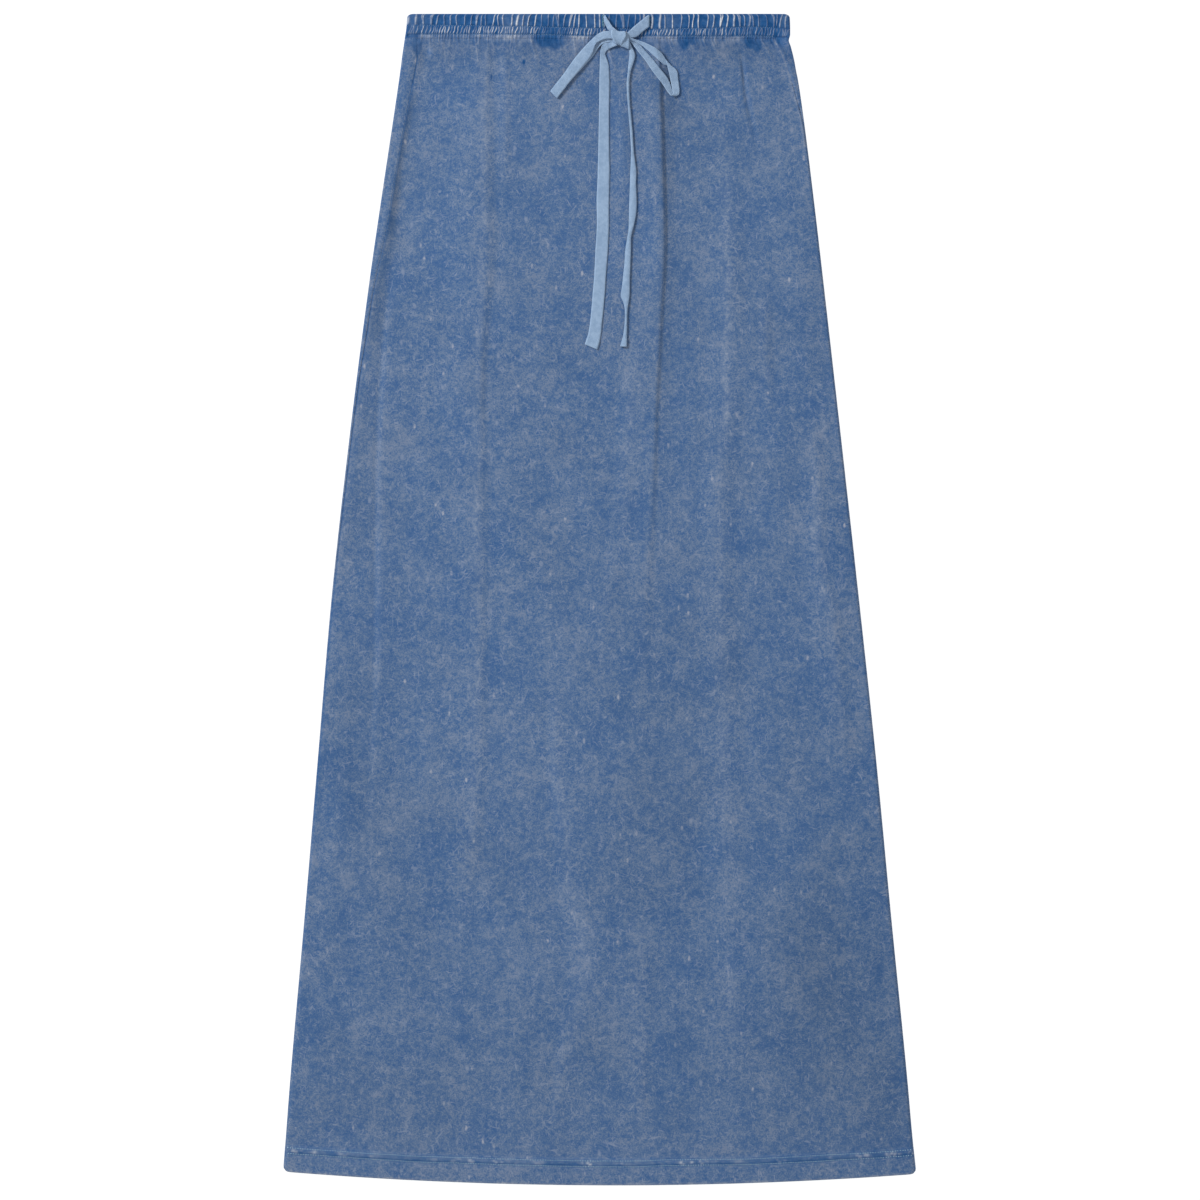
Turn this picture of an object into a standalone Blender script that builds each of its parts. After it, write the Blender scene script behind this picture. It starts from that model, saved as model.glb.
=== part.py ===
"""Denim maxi skirt with a gathered drawstring waist, laid flat, front side up.

Metres, +Z up.  +Y points to the waist, +X to the right of the front as it is
seen from above.  The underside rests at z = 0 and the origin is the middle of
the skirt's footprint.

The skirt is a tube pressed flat: every cross-section is a flattened loop with
round ends.  The front panel, the back panel and the two halves of the
waistband are open surfaces laid over that loop and walled inward.  The back
panel rolls round both side edges and meets the front panel on the front.
"""

import math

import bmesh
import bpy

NAME = "denim_maxi_skirt"

# ---------------------------------------------------------------- sizes (mm)
LENGTH = 1054.2          # top of the waistband to the lowest point of the hem
BAND_HEIGHT = 22.0       # gathered casing
SEAM_GAP = 0.3           # between neighbouring pieces
CLOTH = 1.2              # wall of the panels
HEM_WALL = 2.4           # turned-up hem: two layers of the cloth
HEM_DEPTH = 24.0         # how far the hem is turned up
BAND_WALL = 3.0          # casing: two layers of cloth and the elastic
INSIDE = 0.6             # what is left between the front and the back walls
BAND_LIFT = 2.7          # half the stack of the panels right under the band
LIFT_FADE = 50.0         # the panels sink to their own stack over this length
TAPE = 11.0              # width of the drawstring tape
TAPE_WALL = 0.8          # its thickness
CLEAR = 0.7              # tape above the cloth that it lies on
EASE = 1.2               # hem corners are eased inwards by this much
TOP_EASE = 1.2           # and the waistband's upper corners by this much

# Plan positions are read off a pattern grid of 0.9 mm, x to the right and y
# down, whose column 599 is the skirt's middle and row 14 its upper edge.
GRID, GRID_X, GRID_Y = 0.9, 599.0, 14.0

# Side edges.       down, left, right
OUTLINE = (
    (0.0, -172.6, 171.6),
    (14.0, -173.2, 172.0),
    (36.0, -177.0, 173.8),
    (59.0, -180.0, 179.0),
    (95.0, -185.4, 184.5),
    (167.0, -196.2, 193.5),
    (239.0, -207.0, 201.6),
    (383.0, -225.0, 217.8),
    (527.0, -241.2, 234.0),
    (671.0, -253.8, 249.3),
    (815.0, -265.5, 262.8),
    (959.0, -278.1, 277.2),
    (1045.0, -284.6, 284.6),
)

# How far the back panel comes on to the front.   down, strip
LEFT_STRIP = (
    (0.0, 10.0),
    (25.0, 12.0),
    (40.0, 14.2),
    (63.0, 12.5),
    (92.0, 11.5),
    (130.0, 9.5),
    (194.0, 8.6),
    (243.0, 6.2),
    (290.0, 4.8),
    (331.0, 2.4),
    (600.0, 0.0),
)
RIGHT_STRIP = (
    (0.0, 12.5),
    (22.0, 12.6),
    (33.0, 9.4),
    (46.0, 7.0),
    (61.0, 6.2),
    (75.0, 4.5),
    (90.0, 1.5),
    (110.0, 0.0),
)
STRIP_RAISE = 0.8        # the rolled strip stands this much proud of the front

# Where the front's long folds run, as x at each distance down.
#   down, side valley, left crease, fold start, fold crest, right crease
FOLD_LINES = (
    (22.0, -145.8, -101.7, 29.7, 52.2, 122.4),
    (100.0, -161.1, -103.5, 27.0, 52.2, 112.5),
    (250.0, -188.1, -103.5, 25.2, 52.2, 115.2),
    (400.0, -199.8, -110.3, 20.7, 47.7, 112.5),
    (550.0, -200.7, -110.3, 11.7, 41.4, 108.9),
    (700.0, -205.2, -113.4, 6.3, 36.9, 111.6),
    (850.0, -211.5, -126.0, 0.9, 33.3, 116.1),
    (1054.0, -222.3, -135.9, -0.9, 31.5, 122.4),
)
VALLEY, LEFT_CREASE, FOLD_START, FOLD_CREST, RIGHT_CREASE = 1, 2, 3, 4, 5
# Their height.   down, side valley, left crease, main fold, right crease
FOLD_HEIGHTS = (
    (22.0, 0.0, 0.6, 1.2, 0.3),
    (60.0, 0.0, 1.7, 3.4, 0.8),
    (120.0, 0.0, 1.8, 4.0, 1.5),
    (250.0, 0.3, 1.8, 4.0, 1.5),
    (400.0, 0.8, 1.2, 3.0, 1.4),
    (500.0, 0.8, 1.2, 1.2, 1.3),
    (600.0, 0.8, 1.1, 0.3, 1.2),
    (750.0, 0.5, 0.7, 0.0, 0.8),
    (900.0, 0.0, 0.4, 0.0, 0.8),
    (1010.0, 0.0, 0.0, 0.0, 0.3),
    (1054.0, 0.0, 0.0, 0.0, 0.0),
)
# How wide each fold is to its left and to its right, at its foot.
#   column of the line, column of the height, left reach, right reach
FOLDS = (
    (VALLEY, 1, 5.0, 32.0),
    (LEFT_CREASE, 2, 40.0, 5.0),
    (FOLD_CREST, 3, 28.0, 4.0),
    (RIGHT_CREASE, 4, 22.0, 22.0),
)
CREASE_FOOT, FOLD_FOOT = 5.0, 4.0
# Columns of the front panel between one line and the next.
BETWEEN = (3, 6, 1, 12, 4, 1, 6, 7)
GATHER = 1.2             # height of the panel's gathers at the band
GATHER_FADE = 60.0       # they run out over this length
RIDGE = 0.8              # height of the ridges in the casing
RIDGES = 49              # and their number, about 6.6 mm apart

# Cross-sections, as distances down the middle.
ROWS = (22.35, 30.0, 42.0, 60.0, 85.0, 120.0, 165.0, 215.0, 270.0, 330.0,
        400.0, 470.0, 540.0, 620.0, 700.0, 790.0, 880.0, 960.0, 1022.0,
        1028.0, 1033.0, 1048.0, LENGTH)
BAND_ROWS = (0.0, 3.0, 12.0, BAND_HEIGHT)
ARC = 6                  # facets of a side edge
UNDER = 14               # columns of the underside

# ------------------------------------------------- the drawstring (grid units)
# Each stretch of tape by its two edges: A is the edge that stands higher.
#   A x, A y, B x, B y, rise of A above B (mm), lift of B above the cloth (mm)
EXIT_LEFT = (
    (605.5, 15.5, 602.0, 18.5, 2.0, 0.0),
    (608.5, 20.5, 604.5, 25.0, 3.0, 0.0),
    (614.0, 29.8, 609.6, 33.6, 3.0, 0.5),
)
EXIT_RIGHT = (
    (647.5, 16.5, 649.8, 26.5, 1.0, 0.0),
    (641.0, 22.0, 645.0, 32.0, 1.5, 0.0),
    (633.5, 29.5, 639.0, 37.3, 1.5, 0.5),
    (627.8, 33.6, 631.0, 38.6, 1.5, 0.8),
)
# Upper layer of the left loop, from the knot to its folded tip; the lower
# layer runs back under it.
LOOP_LEFT = (
    (609.8, 34.0, 609.8, 43.0, 0.0, 1.0),
    (601.0, 33.5, 601.5, 43.0, 0.0, 0.6),
    (594.0, 38.0, 595.0, 48.0, 0.0, 0.3),
    (583.6, 48.0, 590.5, 57.5, 0.0, 0.0),
    (573.0, 61.0, 581.0, 69.0, 0.0, 0.0),
    (563.0, 75.0, 570.5, 81.5, 0.0, 0.0),
    (551.0, 91.0, 557.6, 98.3, 0.0, 0.0),
)
LAYER = 1.5              # upper layer above the lower one
# The right loop stands open: out along its far side, round the tip and back.
LOOP_RIGHT = (
    (631.5, 39.4, 634.5, 42.2, 2.6, 1.4),
    (637.5, 41.0, 641.2, 45.6, 3.2, 1.2),
    (644.0, 43.4, 648.2, 51.4, 3.4, 1.0),
    (652.0, 47.2, 655.2, 58.0, 3.2, 0.8),
    (658.0, 50.8, 660.6, 62.8, 3.0, 0.6),
    (663.2, 54.8, 667.0, 66.2, 3.0, 0.3),
    (666.8, 60.8, 673.4, 66.6, 3.2, 0.2),
    (669.5, 69.8, 678.6, 71.6, 3.2, 0.2),
    (672.0, 80.0, 680.9, 80.6, 3.4, 0.2),
    (674.0, 90.0, 681.5, 90.8, 3.8, 0.2),
    (673.0, 95.5, 678.0, 95.0, 5.0, 0.0),
    (669.8, 94.2, 673.9, 91.4, 4.6, 0.0),
    (661.6, 83.2, 668.4, 80.0, 3.6, 0.0),
    (652.2, 71.2, 660.2, 69.4, 3.4, 0.0),
    (645.2, 60.4, 653.2, 60.6, 3.4, 0.0),
    (637.5, 50.6, 645.4, 51.6, 3.4, 0.0),
    (632.0, 44.6, 638.4, 46.0, 3.4, 0.4),
    (628.0, 41.6, 632.2, 43.2, 2.8, 0.8),
)
TAIL_LEFT = (
    (604.5, 46.2, 613.0, 48.0, 0.0, 0.4),
    (600.8, 52.0, 610.6, 53.0, 0.0, 0.4),
    (599.5, 62.0, 610.0, 62.0, 0.0, 0.3),
    (599.0, 80.0, 610.0, 80.0, 0.0, 0.0),
    (598.0, 150.0, 609.7, 150.0, 0.0, 0.0),
    (596.6, 200.0, 609.0, 200.0, 0.0, 0.0),
    (595.3, 250.0, 608.0, 250.0, 0.0, 0.0),
    (592.0, 300.0, 604.2, 301.0, 0.0, 0.0),
    (584.8, 344.0, 596.8, 349.5, 0.0, 0.0),
)
# The right tail is folded lengthwise and lies narrow.
TAIL_RIGHT = (
    (631.6, 46.6, 628.4, 48.0, 0.7, 0.3),
    (634.2, 52.0, 629.2, 52.8, 0.7, 0.2),
    (635.2, 56.6, 629.2, 57.4, 0.7, 0.0),
    (629.6, 83.0, 626.5, 83.0, 0.7, 0.0),
    (630.8, 112.0, 628.0, 112.0, 0.7, 0.0),
    (633.3, 141.0, 630.3, 141.0, 0.7, 0.0),
    (636.3, 172.0, 630.3, 172.0, 0.7, 0.0),
    (636.6, 205.0, 629.2, 205.0, 0.7, 0.0),
    (631.6, 236.0, 627.6, 236.0, 0.7, 0.0),
    (630.6, 263.0, 624.3, 263.0, 0.7, 0.0),
    (629.7, 293.0, 621.2, 293.0, 0.7, 0.0),
    (627.6, 316.0, 624.4, 316.0, 0.7, 0.0),
    (626.6, 347.0, 620.2, 346.6, 0.7, 0.0),
)
FOLDED_WALL = 1.2        # thickness of that folded stretch
KNOT_AT = (618.6, 39.0)  # middle of the knot
KNOT_SIZE = (14.2, 14.2, 7.4)

# ------------------------------------------------------------------ colours
DENIM = (0.108, 0.176, 0.316)
TAPE_BLUE = (0.288, 0.403, 0.578)


# ------------------------------------------------------------------ helpers
def read(table, column, at):
    """Value of a table's column at a distance, on a smooth curve that never
    overshoots its rows."""
    rows = [(row[0], row[column]) for row in table]
    if at <= rows[0][0]:
        return rows[0][1]
    if at >= rows[-1][0]:
        return rows[-1][1]
    slopes = [(b[1] - a[1]) / (b[0] - a[0]) for a, b in zip(rows, rows[1:])]
    for k, (a, b) in enumerate(zip(rows, rows[1:])):
        if at <= b[0]:
            break

    def tangent(i):
        if i == 0:
            return slopes[0]
        if i == len(rows) - 1:
            return slopes[-1]
        before, after = slopes[i - 1], slopes[i]
        return 0.0 if before * after <= 0 else 2 * before * after / (before + after)

    span = b[0] - a[0]
    t = (at - a[0]) / span
    return (
        (2 * t**3 - 3 * t**2 + 1) * a[1]
        + (t**3 - 2 * t**2 + t) * span * tangent(k)
        + (-2 * t**3 + 3 * t**2) * b[1]
        + (t**3 - t**2) * span * tangent(k + 1)
    )


def soft(t):
    """0 to 1 with level ends."""
    t = min(1.0, max(0.0, t))
    return t * t * (3 - 2 * t)


def hem_share(x):
    """How long the skirt is at x, as a share of its length in the middle:
    the hem dips in a shallow curve."""
    return 1.0 - 1.39e-4 * (x - 14.4) ** 2 / LENGTH


def wall_at(down):
    if down <= BAND_HEIGHT:
        return BAND_WALL
    return CLOTH + (HEM_WALL - CLOTH) * soft((down - 1028.0) / 5.0)


def half_stack(down):
    """Radius of the round side edges: half the height of the flattened loop."""
    if down <= BAND_HEIGHT:
        return BAND_WALL + INSIDE / 2
    own = wall_at(down) + INSIDE / 2
    rest = BAND_LIFT - CLOTH - INSIDE / 2
    return own + rest * (1 - soft((down - BAND_HEIGHT) / LIFT_FADE))


def edges_at(row):
    """Left and right side edge, and their distance down, on one row."""
    x_left = read(OUTLINE, 1, row)
    x_right = read(OUTLINE, 2, row)
    down_left, down_right = row * hem_share(x_left), row * hem_share(x_right)
    ease = EASE * max(0.0, (row - (LENGTH - 6.2)) / 6.2) ** 2
    ease += TOP_EASE * max(0.0, 1 - row / 3.0) ** 2
    return (
        read(OUTLINE, 1, down_left) + ease,
        read(OUTLINE, 2, down_right) - ease,
    )


def strips_at(row, radius):
    """Widths of the back panel's strips on the front."""
    least = radius + 0.6
    return max(least, read(LEFT_STRIP, 1, row)), max(least, read(RIGHT_STRIP, 1, row))


def fold_height(x, down):
    """How far the front stands up in its long folds at a plan position."""
    tall = 0.0
    for line, height, reach_left, reach_right in FOLDS:
        off = x - read(FOLD_LINES, line, down)
        reach = reach_left if off < 0 else reach_right
        if abs(off) < reach:
            rise = read(FOLD_HEIGHTS, height, down)
            tall = max(tall, rise * soft(1 - abs(off) / reach))
    return tall


def top_of_cloth(x, down):
    """Upper surface of the front, with its gathers at their full height."""
    if down <= BAND_HEIGHT + 0.5:
        return 2 * half_stack(0.0) + RIDGE
    fade = max(0.0, 1 - (down - BAND_HEIGHT) / GATHER_FADE)
    return 2 * half_stack(down) + fold_height(x, down) + GATHER * fade


def place(x, row, z):
    """A point of a cross-section, in metres."""
    return (x / 1000, (LENGTH / 2 - row * hem_share(x)) / 1000, z / 1000)


def material(name, colour, roughness):
    look = bpy.data.materials.new(name)
    look.use_nodes = True
    shader = look.node_tree.nodes["Principled BSDF"]
    shader.inputs["Base Color"].default_value = (*colour, 1.0)
    shader.inputs["Roughness"].default_value = roughness
    shader.inputs["Metallic"].default_value = 0.0
    return look


def shell(name, points, look, walls, thickest, middle=False):
    """A cloth piece: a grid laid over rows of points, walled by Solidify."""
    tall, wide = len(points), len(points[0])
    mesh = bpy.data.meshes.new(name)
    bm = bmesh.new()
    bmesh.ops.create_grid(bm, x_segments=wide - 1, y_segments=tall - 1, size=0.5)
    bm.verts.index_update()
    weight = {}
    for corner in bm.verts:
        i = round((corner.co.x + 0.5) * (wide - 1))
        j = round((corner.co.y + 0.5) * (tall - 1))
        corner.co = points[j][i]
        weight[corner.index] = walls[j] / thickest
    bm.to_mesh(mesh)
    bm.free()
    thing = bpy.data.objects.new(name, mesh)
    collection.objects.link(thing)
    mesh.materials.append(look)
    group = thing.vertex_groups.new(name="wall")
    for index, share in weight.items():
        group.add([index], share, "REPLACE")
    wall = thing.modifiers.new("wall", "SOLIDIFY")
    wall.thickness = thickest / 1000
    wall.offset = 0.0 if middle else -1.0
    wall.use_even_offset = True
    wall.vertex_group = "wall"
    thing.parent = root
    return thing


# ------------------------------------------------------------------- panels
def front_row(row):
    """The front panel on one row, from the left seam to the right one."""
    radius = half_stack(row)
    x_left, x_right = edges_at(row)
    strip_left, strip_right = strips_at(row, radius)
    lines = [
        x_left + strip_left + SEAM_GAP / 2,
        read(FOLD_LINES, VALLEY, row),
        read(FOLD_LINES, LEFT_CREASE, row),
        read(FOLD_LINES, LEFT_CREASE, row) + CREASE_FOOT,
        read(FOLD_LINES, FOLD_START, row),
        read(FOLD_LINES, FOLD_CREST, row),
        read(FOLD_LINES, FOLD_CREST, row) + FOLD_FOOT,
        read(FOLD_LINES, RIGHT_CREASE, row),
        x_right - strip_right - SEAM_GAP / 2,
    ]
    columns = [lines[0]]
    for start, end, count in zip(lines, lines[1:], BETWEEN):
        columns += [start + (end - start) * (k + 1) / count for k in range(count)]
    fade = GATHER * max(0.0, 1 - (row - BAND_HEIGHT) / GATHER_FADE)
    out = []
    for k, x in enumerate(columns):
        at_seam = k in (0, len(columns) - 1)
        z = 2 * radius + (0.0 if at_seam else fold_height(x, row))
        if k % 2 and not at_seam:
            z += fade * (0.75 + 0.25 * math.sin(2.3 * k))
        out.append(place(x, row, z))
    return out


def back_row(row, under):
    """The back on one row: from the left seam over the left edge, along the
    underside and over the right edge to the right seam."""
    radius = half_stack(row)
    x_left, x_right = edges_at(row)
    strip_left, strip_right = strips_at(row, radius)
    raise_left = STRIP_RAISE * soft((strip_left - radius - 1.0) / 6.0)
    raise_right = STRIP_RAISE * soft((strip_right - radius - 1.0) / 6.0)
    flat_left = x_left + radius
    flat_right = x_right - radius
    seam_left = x_left + strip_left - SEAM_GAP / 2
    seam_right = x_right - strip_right + SEAM_GAP / 2
    section = [
        (seam_left, 2 * radius),
        ((seam_left + flat_left) / 2, 2 * radius + raise_left),
    ]
    for k in range(ARC + 1):
        turn = math.pi / 2 + math.pi * k / ARC
        section.append((flat_left + radius * math.cos(turn), radius + radius * math.sin(turn)))
    for k in range(1, under):
        section.append((flat_left + (flat_right - flat_left) * k / under, 0.0))
    for k in range(ARC + 1):
        turn = -math.pi / 2 + math.pi * k / ARC
        section.append((flat_right + radius * math.cos(turn), radius + radius * math.sin(turn)))
    section += [
        ((seam_right + flat_right) / 2, 2 * radius + raise_right),
        (seam_right, 2 * radius),
    ]
    return [place(x, row, max(0.0, z)) for x, z in section]


def band_row(row):
    """The gathered front half of the waistband on one row."""
    radius = half_stack(row)
    x_left, x_right = edges_at(row)
    strip_left, strip_right = strips_at(row, radius)
    start = x_left + strip_left + SEAM_GAP / 2
    end = x_right - strip_right - SEAM_GAP / 2
    count = 2 * RIDGES
    out = []
    for k in range(count + 1):
        sway = 0.0 if k in (0, count) else 0.7 * math.sin(1.9 * k)
        x = start + (end - start) * k / count + sway
        crest = RIDGE * (0.7 + 0.3 * math.sin(3.1 * k)) if k % 2 else 0.0
        out.append(place(x, row, 2 * radius + crest))
    return out


# --------------------------------------------------------------- drawstring
def on_grid(x, y):
    return (x - GRID_X) * GRID, (y - GRID_Y) * GRID


def along(table, steps):
    """Points on a smooth curve through a table's rows, steps to each span."""
    out = []
    last = len(table) - 1
    for k in range(last):
        p0, p1 = table[max(0, k - 1)], table[k]
        p2, p3 = table[k + 1], table[min(last, k + 2)]
        for s in range(steps + (k == last - 1)):
            t = s / steps
            out.append(tuple(
                0.5 * (2 * b + (c - a) * t + (2 * a - 5 * b + 4 * c - d) * t**2
                       + (3 * b - a - 3 * c + d) * t**3)
                for a, b, c, d in zip(p0, p1, p2, p3)
            ))
    return out


def rest_on_cloth(stations, extra=0.0, slope=0.3):
    """Edges A and B of a tape in mm, laid on the front: the tape bridges the
    hollows and never dips into the cloth."""
    flat, need = [], []
    for ax, ay, bx, by, rise, lift in stations:
        (xa, da), (xb, db) = on_grid(ax, ay), on_grid(bx, by)
        flat.append((xa, da, xb, db, rise))
        most = 0.0
        for k in range(7):
            t = k / 6
            x, down = xb + (xa - xb) * t, db + (da - db) * t
            most = max(most, top_of_cloth(x, down) - rise * t)
        need.append(most + CLEAR + TAPE_WALL / 2 + lift + extra)
    middles = [((p[0] + p[2]) / 2, (p[1] + p[3]) / 2) for p in flat]
    run = [0.0]
    for a, b in zip(middles, middles[1:]):
        run.append(run[-1] + math.dist(a, b))
    base = [max(n - slope * abs(r - s) for n, s in zip(need, run)) for r in run]
    return [
        ((xa, da, z + rise), (xb, db, z))
        for (xa, da, xb, db, rise), z in zip(flat, base)
    ]


def tape_point(p):
    x, down, z = p
    return (x / 1000, (LENGTH / 2 - down) / 1000, z / 1000)


def tape(name, edges, wall=TAPE_WALL):
    """A stretch of tape from its two edges."""
    rows = [[tape_point(b), tape_point(a)] for a, b in edges]
    shell(name, rows, tape_look, [wall] * len(rows), wall, middle=True)


def folded_loop(table, steps):
    """Upper layer out to the tip, a tight turn, and the lower layer back."""
    upper = rest_on_cloth(along(table, steps), extra=LAYER)
    lower = [tuple((x, d, z - LAYER) for x, d, z in pair) for pair in upper]
    (ax, ad, az), (bx, bd, bz) = upper[-1]
    (cx, cd, _), (dx, dd, _) = upper[-2]
    way = ((ax + bx) - (cx + dx), (ad + bd) - (cd + dd))
    size = math.hypot(*way)
    turn = []
    for k in (1, 2, 3):
        angle = math.pi * k / 4
        out = LAYER / 2 * math.sin(angle)
        drop = LAYER / 2 * (1 - math.cos(angle))
        turn.append(tuple(
            (x + way[0] / size * out, d + way[1] / size * out, z - drop)
            for x, d, z in upper[-1]
        ))
    return upper + turn + lower[::-1]


# -------------------------------------------------------------------- build
for old in list(bpy.data.objects):
    bpy.data.objects.remove(old, do_unlink=True)
collection = bpy.data.collections.new(NAME)
bpy.context.scene.collection.children.link(collection)
root = bpy.data.objects.new("skirt_root", None)
collection.objects.link(root)

denim_front = material("denim_front", DENIM, 0.92)
denim_back = material("denim_back", tuple(c * 0.9 for c in DENIM), 0.92)
denim_band = material("denim_band", tuple(c * 0.8 for c in DENIM), 0.9)
denim_band_back = material("denim_band_back", tuple(c * 0.72 for c in DENIM), 0.9)
tape_look = material("tape", TAPE_BLUE, 0.85)

walls = [wall_at(row) for row in ROWS]
shell("front_panel", [front_row(r) for r in ROWS[::-1]], denim_front,
      walls[::-1], HEM_WALL)
shell("back_panel", [back_row(r, UNDER) for r in ROWS], denim_back,
      walls, HEM_WALL)
band_walls = [BAND_WALL] * len(BAND_ROWS)
shell("waistband_front", [band_row(r) for r in BAND_ROWS[::-1]], denim_band,
      band_walls, BAND_WALL)
shell("waistband_back", [back_row(r, UNDER) for r in BAND_ROWS], denim_band_back,
      band_walls, BAND_WALL)

tape("drawstring_exit_left", rest_on_cloth(along(EXIT_LEFT, 2)))
tape("drawstring_exit_right", rest_on_cloth(along(EXIT_RIGHT, 2)))
tape("bow_loop_left", folded_loop(LOOP_LEFT, 2))
tape("bow_loop_right", rest_on_cloth(along(LOOP_RIGHT, 2)))
tape("drawstring_tail_left", rest_on_cloth(along(TAIL_LEFT, 4)))
tape("drawstring_tail_right", rest_on_cloth(along(TAIL_RIGHT, 3)), FOLDED_WALL)

knot_x, knot_down = on_grid(*KNOT_AT)
knot_mesh = bpy.data.meshes.new("bow_knot")
bm = bmesh.new()
bmesh.ops.create_uvsphere(bm, u_segments=14, v_segments=8, radius=0.5)
for corner in bm.verts:
    corner.co.x *= KNOT_SIZE[0] / 1000
    corner.co.y *= KNOT_SIZE[1] / 1000
    corner.co.z *= KNOT_SIZE[2] / 1000
bm.to_mesh(knot_mesh)
bm.free()
knot_mesh.shade_smooth()
knot_mesh.materials.append(tape_look)
knot = bpy.data.objects.new("bow_knot", knot_mesh)
collection.objects.link(knot)
knot.location = (
    knot_x / 1000,
    (LENGTH / 2 - knot_down) / 1000,
    (top_of_cloth(knot_x, 0.0) + CLEAR + KNOT_SIZE[2] / 2) / 1000,
)
knot.parent = root
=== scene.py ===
"""Looks of the denim maxi skirt: mineral-washed cloth, gathers, creases,
stitching and the tied tape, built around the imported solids.

Lengths in the functions are millimetres; place() turns them into metres.
"""

import math

import bpy
import numpy as np
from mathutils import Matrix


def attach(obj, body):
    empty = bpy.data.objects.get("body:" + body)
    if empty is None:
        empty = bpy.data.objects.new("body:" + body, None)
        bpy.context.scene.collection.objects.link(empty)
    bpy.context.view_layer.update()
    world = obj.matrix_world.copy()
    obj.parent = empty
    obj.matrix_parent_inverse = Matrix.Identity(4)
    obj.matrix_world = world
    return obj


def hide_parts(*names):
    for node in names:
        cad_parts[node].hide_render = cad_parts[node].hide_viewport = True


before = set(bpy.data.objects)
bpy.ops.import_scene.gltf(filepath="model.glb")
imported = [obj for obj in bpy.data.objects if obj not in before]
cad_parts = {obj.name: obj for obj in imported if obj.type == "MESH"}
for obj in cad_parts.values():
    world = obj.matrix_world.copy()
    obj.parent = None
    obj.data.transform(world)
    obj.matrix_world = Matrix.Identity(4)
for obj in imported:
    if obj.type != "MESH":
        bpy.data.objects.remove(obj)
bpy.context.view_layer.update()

# ------------------------------------------------------------------- sizes
LENGTH = 1054.2
BAND_HEIGHT = 22.0
CLOTH, HEM_WALL, BAND_WALL = 1.2, 2.4, 3.0
INSIDE = 0.6
BAND_LIFT, LIFT_FADE = 2.7, 50.0
HEM_CORNER, TOP_CORNER = 4.9, 3.8
GRID, GRID_X, GRID_Y = 0.9, 599.0, 14.0
HEM_ROWS = (22.3, 17.3)                  # cover stitch, above the hem edge
HEM_DEPTH = 24.5

# down, left, right
OUTLINE = (
    (0.0, -172.6, 171.6),
    (14.0, -173.6, 172.1),
    (18.5, -174.3, 172.1),
    (23.4, -175.1, 170.9),
    (28.8, -175.9, 172.6),
    (36.0, -177.0, 174.5),
    (42.0, -177.8, 175.9),
    (50.4, -178.9, 177.4),
    (59.0, -180.1, 179.2),
    (95.0, -185.4, 184.5),
    (167.0, -196.2, 193.5),
    (239.0, -206.6, 201.9),
    (383.0, -225.0, 218.2),
    (527.0, -241.0, 234.2),
    (671.0, -253.3, 249.6),
    (815.0, -265.4, 263.4),
    (959.0, -278.1, 277.7),
    (1010.0, -282.0, 282.2),
    (1045.0, -284.7, 285.9),
)
# x, distance down of the two stitch rows that close the casing
STITCH_ROWS = (
    (-180.0, 10.0, 18.3),
    (-95.0, 11.0, 18.4),
    (-53.0, 11.9, 18.8),
    (19.0, 13.5, 20.1),
    (50.0, 13.7, 20.0),
    (91.0, 13.3, 20.2),
    (138.0, 11.9, 20.0),
    (160.0, 13.0, 20.8),
    (180.0, 14.0, 21.2),
)
# down, width of the back panel's strip on the front, how proud it stands
LEFT_STRIP = (
    (0.0, 10.0, 0.2),
    (25.0, 12.0, 0.4),
    (40.0, 13.6, 0.5),
    (63.0, 12.5, 0.5),
    (92.0, 11.2, 0.55),
    (130.0, 9.8, 0.55),
    (163.0, 9.4, 0.55),
    (194.0, 8.9, 0.55),
    (215.0, 7.8, 0.5),
    (243.0, 5.6, 0.4),
    (262.0, 4.6, 0.3),
    (290.0, 4.0, 0.25),
    (331.0, 2.6, 0.2),
    (380.0, 2.0, 0.1),
    (460.0, 1.6, 0.05),
    (600.0, 0.8, 0.0),
    (1054.0, 0.8, 0.0),
)
RIGHT_STRIP = (
    (0.0, 12.5, 0.2),
    (22.0, 12.2, 0.4),
    (33.0, 9.6, 0.5),
    (46.0, 7.2, 0.5),
    (61.0, 5.9, 0.45),
    (75.0, 4.2, 0.4),
    (90.0, 2.0, 0.2),
    (110.0, 0.8, 0.0),
    (1054.0, 0.8, 0.0),
)


def on_grid(x, y):
    """Pattern grid (0.9 mm a step) to x and distance down, in mm."""
    return (np.asarray(x, float) - GRID_X) * GRID, (np.asarray(y, float) - GRID_Y) * GRID


# The hollow beside the left seam: down, how far right of the seam its deepest
# line is, half-width, depth, and how much painted shade it gets.
SEAM_HOLLOW = (
    (26.0, 1.0, 1.6, 0.0, 0.06),
    (41.0, 3.2, 4.6, 0.2, 0.11),
    (66.0, 4.0, 6.0, 0.2, 0.05),
    (90.0, 2.4, 3.4, 0.3, 0.17),
    (114.0, 2.4, 3.6, 0.3, 0.22),
    (139.0, 2.4, 3.4, 0.3, 0.24),
    (163.0, 3.2, 4.6, 0.3, 0.29),
    (187.0, 3.8, 5.4, 0.3, 0.27),
    (211.0, 6.0, 6.0, 0.3, 0.16),
    (236.0, 6.6, 7.0, 0.3, 0.14),
    (262.0, 6.8, 7.4, 0.3, 0.13),
    (290.0, 7.8, 7.8, 0.3, 0.11),
    (350.0, 12.0, 9.5, 0.3, 0.08),
    (420.0, 15.0, 12.0, 0.2, 0.05),
    (520.0, 18.0, 14.0, 0.0, 0.0),
)

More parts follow.
